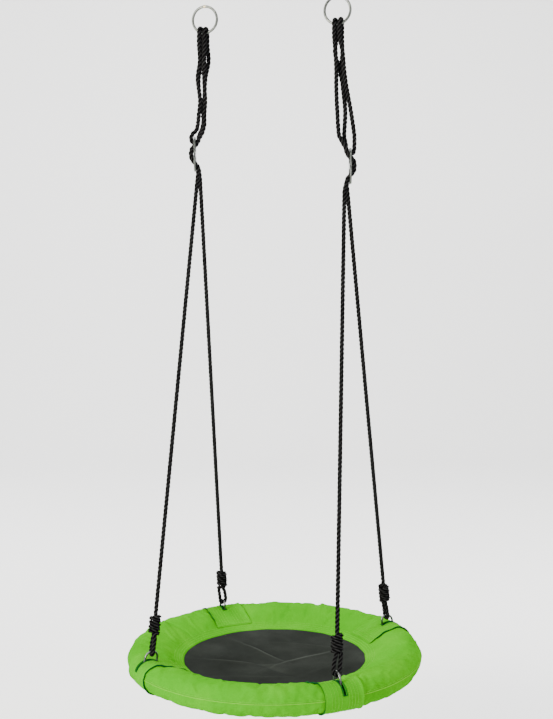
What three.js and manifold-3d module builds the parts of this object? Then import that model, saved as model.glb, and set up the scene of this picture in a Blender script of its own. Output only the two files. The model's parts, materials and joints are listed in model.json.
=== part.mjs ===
// Saucer nest swing. Millimetres, +Z up. The origin is midway between the two points where hooks
// carry the top rings. +X runs from the left ring to the right ring and -Y is the front.
import * as THREE from "three";
import { mergeVertices } from "three/addons/utils/BufferGeometryUtils.js";
import Module from "manifold-3d";

const wasm = await Module();
wasm.setup();

// ---- driving dimensions ----
const ROPE_R = 5;
const GAP = 0.3;

const RING_X = 160;
const RING_R = 30;
const RING_WIRE_R = 3;
const RING_Z = -(RING_R - RING_WIRE_R);
const HAIRPIN_R = 9;
// How far outward of each ring's lowest point the inner and the outer loop hang.
const LOOP_OUT = { left: { inner: -2.4, outer: 11 }, right: { inner: -5, outer: 8 } };

const PLATE_X = 189;
const PLATE_Z = { left: -335, right: -373 };
const PLATE_TURN = THREE.MathUtils.degToRad(20);
const PLATE_T = 4;
const LOBE_HALF_W = 23.5;
const LOBE_CORNER = 14;
const LOBE_TOP = 40;
const LOBE_LOW = 11;
const HOLE_HALF_W = 16.6;
const HOLE_LOW = 6;
const HOLE_TOP = 33;
const HOLE_CORNER = 8;
const WEAVE_V = 10.5;
// How far inward of the plate's line each lower rope leaves it.
const EXIT_IN = { left: { front: 5, back: 11 }, right: { front: 14, back: 5 } };
const LEG_END = 62;
const LEG_LEAD = 5;
const BIGHT_R = 8.6;
const BIGHT_Z = 35.5;

const SEAT_Z = -1517;
const TUBE_RING_R = 317;
const FRAME_R = 11;
const FRAME_BORE_R = 9.4;
const SPIGOT_R = 8.3;
const FRAME_STEPS = 12;
const FOAM_R = 27.5;
const FOAM_BORE_R = 13.2;
const FOAM_GAP = THREE.MathUtils.degToRad(5);
const COVER_R = 33;
const COVER_T = 1.6;
const HEM_R = 215.2;
const HEM_TOP = -7.4;
const HEM_MID = -9.1;
const HEM_EDGE_GAP = 0.1;
const HEM_LOW = -10.9;
const SEAM_ANGLE = THREE.MathUtils.degToRad(8);
const SEAT_SEGMENTS = 40;
const BAND_T = 1.5;
const BAND_W = 94;
const BAND_INNER_R = 238;
const BAND_END_ANGLE = THREE.MathUtils.degToRad(-100);
const MAT_R = 214.9;
const MAT_T = 3;
const SLOT_W = 10;
const SLOT_IN = 25;
const SLOT_OUT = 30;
const SLOT_BOTTOM = 4;
const SLOT_TOP = 60;

const LINK_R = 14.7;
const LINK_WIRE_R = 2.5;
const LINK_LOW = 1.1;
const LINK_TOP = 52;
const LINK_LEAN = THREE.MathUtils.degToRad(9.4);
// The rope is thinner where it is pulled tight in the knot.
const KNOT_ROPE_R = 4.5;
const EYE_R = 7.4;
const COIL_R = 9.5;
const COIL_PITCH = 9.4;
const COIL_TURNS = 4.25;
const COIL_STEPS = 10;
const COIL_LOW = 40;
const KNOT_TOP = 89;
const LOWER_STEPS = 10;

// The four corners: sign of x (left or right), sign of y (front or back).
const CORNERS = [
  { name: "front_left", sx: -1, sy: -1 },
  { name: "back_left", sx: -1, sy: 1 },
  { name: "front_right", sx: 1, sy: -1 },
  { name: "back_right", sx: 1, sy: 1 },
];
const SIDES = [
  { name: "left", sx: -1 },
  { name: "right", sx: 1 },
];

const FINISH = {
  steel: { color: 0xb9bcc0, roughness: 0.35, metalness: 0.9 },
  frame: { color: 0x4a4d50, roughness: 0.5, metalness: 0.6 },
  rope: { color: 0x17181a, roughness: 0.85, metalness: 0 },
  cover: { color: 0x68b62e, roughness: 0.8, metalness: 0 },
  foam: { color: 0xd9d9d2, roughness: 0.95, metalness: 0 },
  mat: { color: 0x373b38, roughness: 0.9, metalness: 0 },
};

const object = new THREE.Group();
object.name = "saucer_nest_swing";

function addPiece(name, geometry, finish) {
  const mesh = new THREE.Mesh(geometry, new THREE.MeshStandardMaterial(FINISH[finish]));
  mesh.name = name;
  object.add(mesh);
}

// ---- shape helpers ----
function toManifold(geometry) {
  const bare = geometry.clone();
  for (const key of Object.keys(bare.attributes)) {
    if (key !== "position") bare.deleteAttribute(key);
  }
  const merged = mergeVertices(bare, 1e-4);
  return new wasm.Manifold(new wasm.Mesh({
    numProp: 3,
    vertProperties: new Float32Array(merged.attributes.position.array),
    triVerts: new Uint32Array(merged.index.array),
  }));
}

function toGeometry(manifold) {
  const mesh = manifold.getMesh();
  const geometry = new THREE.BufferGeometry();
  geometry.setAttribute("position", new THREE.BufferAttribute(mesh.vertProperties, 3));
  geometry.setIndex(new THREE.BufferAttribute(mesh.triVerts, 1));
  return geometry;
}

function circleShape(radius, sides) {
  const points = [];
  for (let i = 0; i < sides; i += 1) {
    const angle = (2 * Math.PI * i) / sides;
    points.push(new THREE.Vector2(radius * Math.cos(angle), radius * Math.sin(angle)));
  }
  return new THREE.Shape(points);
}

// A route whose steps are shared evenly between its points, so close points give a fine bend.
class Route extends THREE.CatmullRomCurve3 {
  getPointAt(share, target) {
    return this.getPoint(share, target);
  }

  getTangentAt(share, target) {
    return this.getTangent(share, target);
  }
}

// A round bar or rope along a route given as points.
function barAlong(points, radius, stepsPerSpan, sides = 8) {
  const route = new Route(points, false, "centripetal");
  const steps = stepsPerSpan * (points.length - 1);
  return new THREE.ExtrudeGeometry(circleShape(radius, sides), { steps, extrudePath: route });
}

// Points of a half turn from one angle to another; place takes each point's two offsets.
function halfTurn(place, radius, from, to) {
  const steps = 6;
  const points = [];
  for (let i = 0; i <= steps; i += 1) {
    const angle = from + ((to - from) * i) / steps;
    points.push(place(radius * Math.cos(angle), radius * Math.sin(angle)));
  }
  return points;
}

// A closed profile of [radius, height] pairs turned about the seat's vertical axis.
function turned(profile, segments) {
  const points = profile.map(([r, z]) => new THREE.Vector2(r, z));
  points.push(points[0].clone());
  const geometry = new THREE.LatheGeometry(points, segments);
  geometry.rotateX(Math.PI / 2);
  geometry.translate(0, 0, SEAT_Z);
  return geometry;
}

// Part of the seat's frame circle, between two angles.
class FrameArc extends THREE.Curve {
  constructor(start, end) {
    super();
    this.start = start;
    this.end = end;
  }

  getPoint(share, target = new THREE.Vector3()) {
    const angle = this.start + (this.end - this.start) * share;
    return target.set(TUBE_RING_R * Math.cos(angle), TUBE_RING_R * Math.sin(angle), SEAT_Z);
  }

  getTangent(share, target = new THREE.Vector3()) {
    const angle = this.start + (this.end - this.start) * share;
    return target.set(-Math.sin(angle), Math.cos(angle), 0);
  }
}

// A pipe that follows the seat's frame circle between two angles.
function arcPipe(outer, bore, start, end, steps, sides = 8) {
  const section = circleShape(outer, sides);
  if (bore > 0) section.holes.push(circleShape(bore, sides));
  return new THREE.ExtrudeGeometry(section, { steps, extrudePath: new FrameArc(start, end) });
}

// ---- top rings ----
function topRing(sx) {
  const geometry = new THREE.TorusGeometry(RING_R, RING_WIRE_R, 8, 24);
  geometry.rotateX(Math.PI / 2);
  geometry.translate(sx * RING_X, 0, RING_Z);
  return geometry;
}

// ---- adjuster plates ----
function plateZ(sx) {
  return sx < 0 ? PLATE_Z.left : PLATE_Z.right;
}

// A point at the plate: u is outward across its thickness, v along its width, z above its middle.
function atPlate(sx, u, v, z) {
  const c = Math.cos(PLATE_TURN);
  const s = Math.sin(PLATE_TURN);
  const x = sx * PLATE_X + sx * u * c - v * s;
  const y = sx * u * s + v * c;
  return new THREE.Vector3(x, y, plateZ(sx) + z);
}

function roundedHole(low, top) {
  const hole = new THREE.Path();
  const w = HOLE_HALF_W - HOLE_CORNER;
  hole.moveTo(w, low);
  hole.absarc(w, low + HOLE_CORNER, HOLE_CORNER, -Math.PI / 2, 0);
  hole.absarc(w, top - HOLE_CORNER, HOLE_CORNER, 0, Math.PI / 2);
  hole.absarc(-w, top - HOLE_CORNER, HOLE_CORNER, Math.PI / 2, Math.PI);
  hole.absarc(-w, low + HOLE_CORNER, HOLE_CORNER, Math.PI, 1.5 * Math.PI);
  return hole;
}

function adjusterPlate(sx) {
  const w = LOBE_HALF_W - LOBE_CORNER;
  const high = LOBE_TOP - LOBE_CORNER;
  const dip = Math.asin(LOBE_LOW / LOBE_CORNER);
  const outline = new THREE.Shape();
  outline.absarc(w, LOBE_LOW, LOBE_CORNER, -dip, 0);
  outline.absarc(w, high, LOBE_CORNER, 0, Math.PI / 2);
  outline.absarc(-w, high, LOBE_CORNER, Math.PI / 2, Math.PI);
  outline.absarc(-w, LOBE_LOW, LOBE_CORNER, Math.PI, Math.PI + dip);
  outline.absarc(-w, -LOBE_LOW, LOBE_CORNER, Math.PI - dip, Math.PI);
  outline.absarc(-w, -high, LOBE_CORNER, Math.PI, 1.5 * Math.PI);
  outline.absarc(w, -high, LOBE_CORNER, -Math.PI / 2, 0);
  outline.absarc(w, -LOBE_LOW, LOBE_CORNER, 0, dip);
  outline.holes.push(roundedHole(HOLE_LOW, HOLE_TOP));
  outline.holes.push(roundedHole(-HOLE_TOP, -HOLE_LOW));
  const options = { depth: PLATE_T, bevelEnabled: false, curveSegments: 3 };
  const geometry = new THREE.ExtrudeGeometry(outline, options);
  geometry.translate(0, 0, -PLATE_T / 2);
  geometry.rotateX(Math.PI / 2);
  geometry.rotateZ(Math.PI / 2 + PLATE_TURN);
  geometry.translate(sx * PLATE_X, 0, plateZ(sx));
  return geometry;
}

// The rope's weave: up through the lower hole, round the outside of the waist, back through the
// upper hole. Listed as [u, z] from the bottom.
const WEAVE_ROUTE = [
  [-6.8, -30], [0, -20.5], [6.8, -12], [9.2, 0], [6.8, 12], [0, 20.5], [-6.6, 30],
];

// The legs above each plate, as [u, z] from the plate up to the leg's end. Where a leg ends, the
// rope runs on straight into the upper loop.
const LEGS = {
  left: {
    weave_front: [[-13, 40], [-19, 51], [-22, LEG_END]],
    weave_back: [[-10.5, 40], [-14, 51.8], [-17, LEG_END]],
    bight_inner: [[-10, 44], [-15, 53.5], [-19, LEG_END]],
    bight_outer: [[7.8, 42], [4.6, 48], [-0.5, 52.8], [-4.6, 57.2], [-5.8, LEG_END]],
  },
  right: {
    weave_front: [[-11, 40], [-17.6, 51.8], [-23, LEG_END]],
    weave_back: [[-9, 40], [-10.4, 51.8], [-12, LEG_END]],
    bight_inner: [[-9.2, 44], [-10.8, 53.5], [-12.5, LEG_END]],
    bight_outer: [[9.2, 44], [9.6, 53.5], [9.5, LEG_END]],
  },
};
const LEG_V = { weave_front: -WEAVE_V, weave_back: WEAVE_V, bight_inner: 0, bight_outer: 0 };

function legPoints(side, leg) {
  return LEGS[side.name][leg].map(([u, z]) => atPlate(side.sx, u, LEG_V[leg], z));
}

function weave(side, sy) {
  const { axis, top } = knotFrame(side.sx, sy);
  const points = [top.clone(), top.clone().addScaledVector(axis, LEG_LEAD)];
  for (const [u, z] of WEAVE_ROUTE) points.push(atPlate(side.sx, u, sy * WEAVE_V, z));
  points.push(...legPoints(side, sy < 0 ? "weave_front" : "weave_back"));
  return barAlong(points, ROPE_R, 2);
}

// The bight: one leg down inside, round the plate's top bar and up outside.
function bight(side) {
  const place = (u, z) => atPlate(side.sx, u, 0, BIGHT_Z + z);
  const points = [
    ...legPoints(side, "bight_inner").reverse(),
    ...halfTurn(place, BIGHT_R, Math.PI, 2 * Math.PI),
    ...legPoints(side, "bight_outer"),
  ];
  return barAlong(points, ROPE_R, 2);
}

// ---- upper loops ----
// Strand routes between ring and plate as [z, outward offset from the ring, offset to the back].
const STRANDS = {
  left: {
    inner_front: [[-85, -2.4, -9], [-120, -1, -9], [-160, 0.5, -8], [-212, -1, -6], [-245, 2, -4.5]],
    inner_back: [[-85, -2.4, 9], [-120, -4.5, 9.5], [-160, 4, 9.5], [-212, 6, 5], [-245, 9.5, 6]],
    outer_front: [[-85, 11.8, -9], [-120, 9.5, -10], [-160, 16, -9], [-212, 9, -13], [-245, 15, -8]],
    outer_back: [[-85, 14.5, 9], [-120, 13, 9.5], [-160, 21, 9], [-212, 17.5, 9.5], [-245, 13, 17]],
  },
  right: {
    inner_front: [[-88, -5, -9], [-118, -2, -9], [-160, 0, -10.5], [-197, 0.5, -12.5], [-251, 4, -17]],
    inner_back: [[-88, -5, 9], [-118, -8.5, 9], [-160, 5.5, -0.5], [-197, 13, -2], [-251, 18.5, -3]],
    outer_front: [[-88, 8, -9], [-118, 14, -9], [-160, 18, -9], [-197, 23, -9], [-251, 31, -1]],
    outer_back: [[-88, 8, 9], [-118, 8.5, 9.5], [-160, 5.5, 12], [-197, 9.5, 9.5], [-251, 15, 8.5]],
  },
};
const LOOP_LEGS = {
  inner: { front: "weave_front", back: "bight_inner" },
  outer: { front: "bight_outer", back: "weave_back" },
};

function strandPoints(side, strand) {
  return STRANDS[side.name][strand].map(
    ([z, out, back]) => new THREE.Vector3(side.sx * (RING_X + out), back, z));
}

// Where a loop takes over from a leg: its first two points, in line with the leg's end.
function legLead(side, leg) {
  const [before, end] = legPoints(side, leg).slice(-2);
  const direction = end.clone().sub(before).normalize();
  return [GAP, LEG_LEAD].map((step) => end.clone().addScaledVector(direction, step));
}

// One rope from the plate up over the ring's lower wire and down to the plate again.
function upperLoop(side, which) {
  const offset = LOOP_OUT[side.name][which];
  const wireZ = RING_Z - Math.sqrt(RING_R ** 2 - offset ** 2);
  const place = (y, z) => new THREE.Vector3(side.sx * (RING_X + offset), y, wireZ + z);
  const points = [
    ...legLead(side, LOOP_LEGS[which].front),
    ...strandPoints(side, `${which}_front`).reverse(),
    ...halfTurn(place, HAIRPIN_R, Math.PI, 0),
    ...strandPoints(side, `${which}_back`),
    ...legLead(side, LOOP_LEGS[which].back).reverse(),
  ];
  return barAlong(points, ROPE_R, 2);
}

// ---- corner attachments ----
// Directions at a corner: out is radial, along is tangential, up follows the leaning link.
function cornerFrame(sx, sy) {
  const out = new THREE.Vector3(sx, sy, 0).normalize();
  const up = new THREE.Vector3(0, 0, Math.cos(LINK_LEAN)).addScaledVector(out, -Math.sin(LINK_LEAN));
  const tube = out.clone().multiplyScalar(TUBE_RING_R);
  tube.z = SEAT_Z;
  const eye = tube.clone().addScaledVector(up, LINK_TOP);
  return { out, up, tube, eye };
}

function frameLink(sx, sy) {
  const geometry = new THREE.TorusGeometry(LINK_R, LINK_WIRE_R, 8, 16);
  geometry.rotateZ(Math.PI / 16);
  const stretch = LINK_TOP - LINK_R - LINK_LOW;
  const position = geometry.attributes.position;
  for (let i = 0; i < position.count; i += 1) {
    const y = position.getY(i) + LINK_LOW;
    position.setY(i, position.getY(i) > 0 ? y + stretch : y);
  }
  geometry.rotateX(Math.PI / 2);
  geometry.rotateY(-LINK_LEAN);
  geometry.rotateZ(Math.atan2(sy, sx));
  const { tube } = cornerFrame(sx, sy);
  geometry.translate(tube.x, tube.y, tube.z);
  return geometry;
}

// Directions at a knot: axis points up the lower rope, along is tangential to the seat.
function knotFrame(sx, sy) {
  const { out, eye } = cornerFrame(sx, sy);
  const inward = EXIT_IN[sx < 0 ? "left" : "right"][sy < 0 ? "front" : "back"];
  const top = atPlate(sx, -inward, sy * WEAVE_V, -LEG_END);
  const axis = top.clone().sub(eye).normalize();
  const along = new THREE.Vector3(-out.y, out.x, 0);
  along.addScaledVector(axis, -along.dot(axis)).normalize();
  const across = new THREE.Vector3().crossVectors(axis, along);
  const at = (t, n, w) => eye.clone().addScaledVector(along, t)
    .addScaledVector(across, n).addScaledVector(axis, w);
  return { at, axis, top };
}

// The rope's end: down through its own coils, round the link and up again into the coils.
function knot(sx, sy) {
  const { at } = knotFrame(sx, sy);
  const points = [at(0, 0, KNOT_TOP), at(0, 0, 66), at(0, 0, 46), at(-2, 0, 35), at(-6, 0, 21)];
  points.push(...halfTurn((t, w) => at(t, 0, w), EYE_R, Math.PI, 2 * Math.PI));
  points.push(at(8.4, 0, 14), at(COIL_R, 0, 28));
  for (let i = 0; i <= COIL_TURNS * COIL_STEPS; i += 1) {
    const turn = i / COIL_STEPS;
    const angle = 2 * Math.PI * turn;
    points.push(at(COIL_R * Math.cos(angle), COIL_R * Math.sin(angle), COIL_LOW + COIL_PITCH * turn));
  }
  return barAlong(points, KNOT_ROPE_R, 1);
}

function lowerRope(sx, sy) {
  const { at, axis, top } = knotFrame(sx, sy);
  const end = top.clone().addScaledVector(axis, -GAP);
  return barAlong([at(0, 0, KNOT_TOP + GAP), end], ROPE_R, LOWER_STEPS);
}

// ---- seat ----
function coverArc(radius, from, to, steps) {
  const points = [];
  for (let i = 0; i <= steps; i += 1) {
    const angle = from + ((to - from) * i) / steps;
    points.push([TUBE_RING_R + radius * Math.cos(angle), radius * Math.sin(angle)]);
  }
  return points;
}

// Angle on the padded tube where a straight skirt from the hem touches it.
function skirtAngle(hemZ, side) {
  const run = TUBE_RING_R - HEM_R;
  const reach = Math.hypot(run, hemZ);
  return side * (Math.PI / 2 + Math.asin(COVER_R / reach)) - Math.atan2(hemZ, run);
}

function coverTop() {
  const skirt = skirtAngle(HEM_TOP, 1);
  const profile = [
    ...coverArc(COVER_R, SEAM_ANGLE, skirt, 7),
    [HEM_R, HEM_TOP],
    [HEM_R, HEM_MID + HEM_EDGE_GAP],
    ...coverArc(COVER_R - COVER_T, skirt, SEAM_ANGLE, 7),
  ];
  return turned(profile, SEAT_SEGMENTS);
}

function coverBottom() {
  const skirt = skirtAngle(HEM_LOW, -1);
  const seam = SEAM_ANGLE - GAP / COVER_R;
  const profile = [
    ...coverArc(COVER_R - COVER_T, seam, skirt, 8),
    [HEM_R, HEM_MID - HEM_EDGE_GAP],
    [HEM_R, HEM_LOW],
    ...coverArc(COVER_R, skirt, seam, 8),
  ];
  return turned(profile, SEAT_SEGMENTS);
}

// A box over one corner, long in the radial direction.
function cornerBox(sx, sy, inner, outer, width, low, high) {
  const geometry = new THREE.BoxGeometry(outer - inner, width, high - low);
  geometry.translate((inner + outer) / 2, 0, (low + high) / 2);
  geometry.rotateZ(Math.atan2(sy, sx));
  geometry.translate(0, 0, SEAT_Z);
  return toManifold(geometry);
}

function slotBox(sx, sy) {
  const inner = TUBE_RING_R - SLOT_IN;
  const outer = TUBE_RING_R + SLOT_OUT;
  return cornerBox(sx, sy, inner, outer, SLOT_W, SLOT_BOTTOM, SLOT_TOP);
}

function slottedCoverTop() {
  let cover = toManifold(coverTop());
  for (const { sx, sy } of CORNERS) cover = cover.subtract(slotBox(sx, sy));
  return toGeometry(cover);
}

function reinforcementShell() {
  const lift = 2 * GAP;
  const skirt = skirtAngle(HEM_TOP, 1);
  const touch = [Math.cos(skirt), Math.sin(skirt)];
  const slope = (COVER_R * touch[1] - HEM_TOP) / (TUBE_RING_R + COVER_R * touch[0] - HEM_R);
  const skirtZ = HEM_TOP + slope * (BAND_INNER_R - HEM_R);
  const rise = 1 / Math.cos(Math.atan(slope));
  const profile = [
    ...coverArc(COVER_R + lift + BAND_T, BAND_END_ANGLE, skirt, 13),
    [BAND_INNER_R, skirtZ + (lift + BAND_T) * rise],
    [BAND_INNER_R, skirtZ + lift * rise],
    ...coverArc(COVER_R + lift, skirt, BAND_END_ANGLE, 13),
  ];
  return toManifold(turned(profile, SEAT_SEGMENTS));
}

const bandRing = reinforcementShell();

function reinforcementBand(sx, sy) {
  // The block only cuts the band to its width, so it reaches well past the ring every other way.
  const reach = 2 * COVER_R;
  const block = cornerBox(sx, sy, TUBE_RING_R - 3 * reach, TUBE_RING_R + reach, BAND_W, -reach, reach);
  return toGeometry(bandRing.intersect(block).subtract(slotBox(sx, sy)));
}

function mat() {
  const geometry = new THREE.CylinderGeometry(MAT_R, MAT_R, MAT_T, SEAT_SEGMENTS);
  geometry.rotateX(Math.PI / 2);
  geometry.translate(0, 0, SEAT_Z + HEM_TOP - MAT_T / 2);
  return geometry;
}

// ---- frame and padding ----
const QUARTERS = [
  { name: "right", middle: 0 },
  { name: "back", middle: Math.PI / 2 },
  { name: "left", middle: Math.PI },
  { name: "front", middle: 1.5 * Math.PI },
];
const EIGHTH = Math.PI / 4;
const END_TRIM = GAP / TUBE_RING_R;
const SPIGOT_HALF = (2 * EIGHTH) / FRAME_STEPS;

// Each frame tube spans one corner; the joints lie at the right, back, left and front.
function frameTube(corner) {
  const middle = Math.atan2(corner.sy, corner.sx);
  return arcPipe(FRAME_R, FRAME_BORE_R, middle - EIGHTH + END_TRIM, middle + EIGHTH - END_TRIM,
    FRAME_STEPS);
}

function frameSpigot(middle) {
  return arcPipe(SPIGOT_R, 0, middle - SPIGOT_HALF, middle + SPIGOT_HALF, 2);
}

function foamSleeve(middle) {
  return arcPipe(FOAM_R, FOAM_BORE_R, middle - EIGHTH + FOAM_GAP, middle + EIGHTH - FOAM_GAP, 8);
}

// ---- assembly ----
for (const side of SIDES) {
  addPiece(`top_ring_${side.name}`, topRing(side.sx), "steel");
  addPiece(`adjuster_plate_${side.name}`, adjusterPlate(side.sx), "steel");
  addPiece(`rope_loop_inner_${side.name}`, upperLoop(side, "inner"), "rope");
  addPiece(`rope_loop_outer_${side.name}`, upperLoop(side, "outer"), "rope");
  addPiece(`rope_bight_${side.name}`, bight(side), "rope");
  addPiece(`rope_weave_front_${side.name}`, weave(side, -1), "rope");
  addPiece(`rope_weave_back_${side.name}`, weave(side, 1), "rope");
}
for (const corner of CORNERS) {
  const { name, sx, sy } = corner;
  addPiece(`rope_lower_${name}`, lowerRope(sx, sy), "rope");
  addPiece(`rope_knot_${name}`, knot(sx, sy), "rope");
  addPiece(`frame_link_${name}`, frameLink(sx, sy), "steel");
  addPiece(`frame_tube_${name}`, frameTube(corner), "frame");
  addPiece(`cover_band_${name}`, reinforcementBand(sx, sy), "cover");
}
for (const { name, middle } of QUARTERS) {
  addPiece(`frame_spigot_${name}`, frameSpigot(middle), "frame");
  addPiece(`foam_sleeve_${name}`, foamSleeve(middle), "foam");
}
addPiece("cover_top", slottedCoverTop(), "cover");
addPiece("cover_bottom", coverBottom(), "cover");
addPiece("mat", mat(), "mat");

export default object;
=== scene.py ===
"""Saucer nest swing: a padded fabric ring with a mat, hung by two twisted ropes.

Metres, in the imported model's frame: the origin is midway between the two hanging points, +Z is up,
+X runs from the left ring to the right ring and -Y is the front.
"""

import json
import math
import random

import bmesh
import bpy
from mathutils import Matrix, Vector, noise
from mathutils.bvhtree import BVHTree
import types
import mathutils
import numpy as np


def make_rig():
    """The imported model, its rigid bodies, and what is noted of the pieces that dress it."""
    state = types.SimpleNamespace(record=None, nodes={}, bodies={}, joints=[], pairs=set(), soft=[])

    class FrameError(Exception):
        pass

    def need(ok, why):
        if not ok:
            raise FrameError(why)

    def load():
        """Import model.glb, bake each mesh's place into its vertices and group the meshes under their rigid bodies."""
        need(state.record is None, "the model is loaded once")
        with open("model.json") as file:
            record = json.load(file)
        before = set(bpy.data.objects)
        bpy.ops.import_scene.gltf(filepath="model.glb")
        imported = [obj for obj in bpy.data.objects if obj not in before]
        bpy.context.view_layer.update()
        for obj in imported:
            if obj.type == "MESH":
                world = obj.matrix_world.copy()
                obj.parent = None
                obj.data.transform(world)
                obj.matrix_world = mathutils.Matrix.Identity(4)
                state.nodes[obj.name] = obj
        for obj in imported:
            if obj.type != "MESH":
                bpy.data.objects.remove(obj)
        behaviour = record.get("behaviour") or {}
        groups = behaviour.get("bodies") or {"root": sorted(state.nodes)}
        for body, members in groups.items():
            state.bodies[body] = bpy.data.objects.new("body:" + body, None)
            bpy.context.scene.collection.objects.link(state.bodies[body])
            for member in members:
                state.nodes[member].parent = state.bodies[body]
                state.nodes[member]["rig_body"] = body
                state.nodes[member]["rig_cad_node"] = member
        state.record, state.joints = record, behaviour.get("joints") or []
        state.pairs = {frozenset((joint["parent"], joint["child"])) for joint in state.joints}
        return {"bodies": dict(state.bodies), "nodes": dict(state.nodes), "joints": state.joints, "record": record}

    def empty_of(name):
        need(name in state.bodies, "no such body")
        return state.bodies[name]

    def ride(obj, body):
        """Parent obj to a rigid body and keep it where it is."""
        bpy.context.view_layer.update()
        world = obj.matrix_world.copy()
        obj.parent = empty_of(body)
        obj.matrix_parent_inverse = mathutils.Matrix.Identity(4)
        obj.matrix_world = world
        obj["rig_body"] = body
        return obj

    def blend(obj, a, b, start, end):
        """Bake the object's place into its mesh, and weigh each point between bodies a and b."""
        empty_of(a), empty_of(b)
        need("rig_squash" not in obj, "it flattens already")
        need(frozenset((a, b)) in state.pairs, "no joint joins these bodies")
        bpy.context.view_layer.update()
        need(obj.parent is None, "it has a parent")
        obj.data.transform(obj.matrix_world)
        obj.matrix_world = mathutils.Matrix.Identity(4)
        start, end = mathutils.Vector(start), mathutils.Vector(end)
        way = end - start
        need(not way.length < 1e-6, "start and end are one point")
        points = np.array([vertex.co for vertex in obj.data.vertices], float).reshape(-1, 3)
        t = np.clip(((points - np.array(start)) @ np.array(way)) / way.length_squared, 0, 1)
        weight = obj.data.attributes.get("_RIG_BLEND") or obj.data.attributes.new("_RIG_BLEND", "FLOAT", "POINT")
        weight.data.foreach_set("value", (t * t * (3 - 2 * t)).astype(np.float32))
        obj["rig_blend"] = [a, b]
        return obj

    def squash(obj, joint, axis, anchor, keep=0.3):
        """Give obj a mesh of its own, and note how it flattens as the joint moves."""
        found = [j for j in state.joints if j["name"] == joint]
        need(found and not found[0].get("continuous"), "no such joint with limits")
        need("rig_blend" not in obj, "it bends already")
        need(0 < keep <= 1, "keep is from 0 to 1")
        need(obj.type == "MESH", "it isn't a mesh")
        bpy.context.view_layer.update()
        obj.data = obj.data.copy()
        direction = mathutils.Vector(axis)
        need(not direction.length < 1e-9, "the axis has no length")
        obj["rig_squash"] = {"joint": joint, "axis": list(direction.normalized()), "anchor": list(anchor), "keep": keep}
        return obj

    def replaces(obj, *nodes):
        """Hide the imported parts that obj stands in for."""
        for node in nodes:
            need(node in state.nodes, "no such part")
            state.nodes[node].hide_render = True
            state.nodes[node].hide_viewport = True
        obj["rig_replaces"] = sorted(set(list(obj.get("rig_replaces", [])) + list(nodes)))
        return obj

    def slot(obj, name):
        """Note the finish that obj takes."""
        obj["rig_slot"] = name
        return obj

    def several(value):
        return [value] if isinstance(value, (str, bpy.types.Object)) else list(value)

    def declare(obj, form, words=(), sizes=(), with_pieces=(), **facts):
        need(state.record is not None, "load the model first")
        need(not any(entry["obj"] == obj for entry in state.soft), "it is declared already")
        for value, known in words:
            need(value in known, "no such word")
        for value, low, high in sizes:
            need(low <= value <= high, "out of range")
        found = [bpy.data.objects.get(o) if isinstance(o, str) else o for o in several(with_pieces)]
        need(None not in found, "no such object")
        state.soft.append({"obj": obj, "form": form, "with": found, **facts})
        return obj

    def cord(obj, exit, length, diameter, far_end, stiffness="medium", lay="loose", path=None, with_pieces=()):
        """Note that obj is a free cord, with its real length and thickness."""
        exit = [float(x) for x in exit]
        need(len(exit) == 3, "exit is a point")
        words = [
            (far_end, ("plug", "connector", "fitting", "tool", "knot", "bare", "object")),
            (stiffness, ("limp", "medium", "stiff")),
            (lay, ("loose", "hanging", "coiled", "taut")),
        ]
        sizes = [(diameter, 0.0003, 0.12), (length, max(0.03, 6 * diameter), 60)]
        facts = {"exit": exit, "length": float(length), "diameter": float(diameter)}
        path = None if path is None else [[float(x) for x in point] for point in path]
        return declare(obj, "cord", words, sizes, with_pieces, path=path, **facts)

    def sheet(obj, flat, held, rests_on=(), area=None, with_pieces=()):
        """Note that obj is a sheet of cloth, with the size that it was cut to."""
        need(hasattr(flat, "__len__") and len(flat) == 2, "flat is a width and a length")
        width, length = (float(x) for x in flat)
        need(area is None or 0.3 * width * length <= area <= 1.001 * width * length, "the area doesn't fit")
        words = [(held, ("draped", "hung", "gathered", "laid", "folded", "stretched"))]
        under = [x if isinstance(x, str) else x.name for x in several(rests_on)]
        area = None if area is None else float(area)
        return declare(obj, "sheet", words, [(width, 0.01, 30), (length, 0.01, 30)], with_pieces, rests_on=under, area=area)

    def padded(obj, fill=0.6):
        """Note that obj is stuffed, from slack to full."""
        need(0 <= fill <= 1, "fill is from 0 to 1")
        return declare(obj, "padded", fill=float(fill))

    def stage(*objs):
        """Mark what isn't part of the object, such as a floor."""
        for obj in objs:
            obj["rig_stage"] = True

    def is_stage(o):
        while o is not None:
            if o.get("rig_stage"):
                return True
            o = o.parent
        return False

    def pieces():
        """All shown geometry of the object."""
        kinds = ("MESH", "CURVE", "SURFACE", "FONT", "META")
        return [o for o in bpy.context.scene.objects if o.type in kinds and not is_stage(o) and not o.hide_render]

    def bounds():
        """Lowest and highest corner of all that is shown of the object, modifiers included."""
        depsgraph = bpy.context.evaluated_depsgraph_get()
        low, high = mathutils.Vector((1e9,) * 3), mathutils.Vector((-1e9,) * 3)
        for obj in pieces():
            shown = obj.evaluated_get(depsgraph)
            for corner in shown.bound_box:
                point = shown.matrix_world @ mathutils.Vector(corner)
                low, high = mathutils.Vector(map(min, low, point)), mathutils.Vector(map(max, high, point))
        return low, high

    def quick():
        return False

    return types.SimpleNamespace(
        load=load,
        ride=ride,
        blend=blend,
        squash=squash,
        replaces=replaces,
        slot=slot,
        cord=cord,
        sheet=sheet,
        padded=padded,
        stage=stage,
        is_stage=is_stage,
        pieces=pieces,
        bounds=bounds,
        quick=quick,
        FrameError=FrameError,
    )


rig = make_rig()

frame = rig.load()
CAD_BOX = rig.bounds()

# ---- sizes shared with the CAD model ----
ROPE_D = 0.010
RING_X = 0.160
RING_R = 0.030
RING_WIRE_R = 0.003
RING_Z = -(RING_R - RING_WIRE_R)
HAIRPIN_R = 0.009
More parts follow.
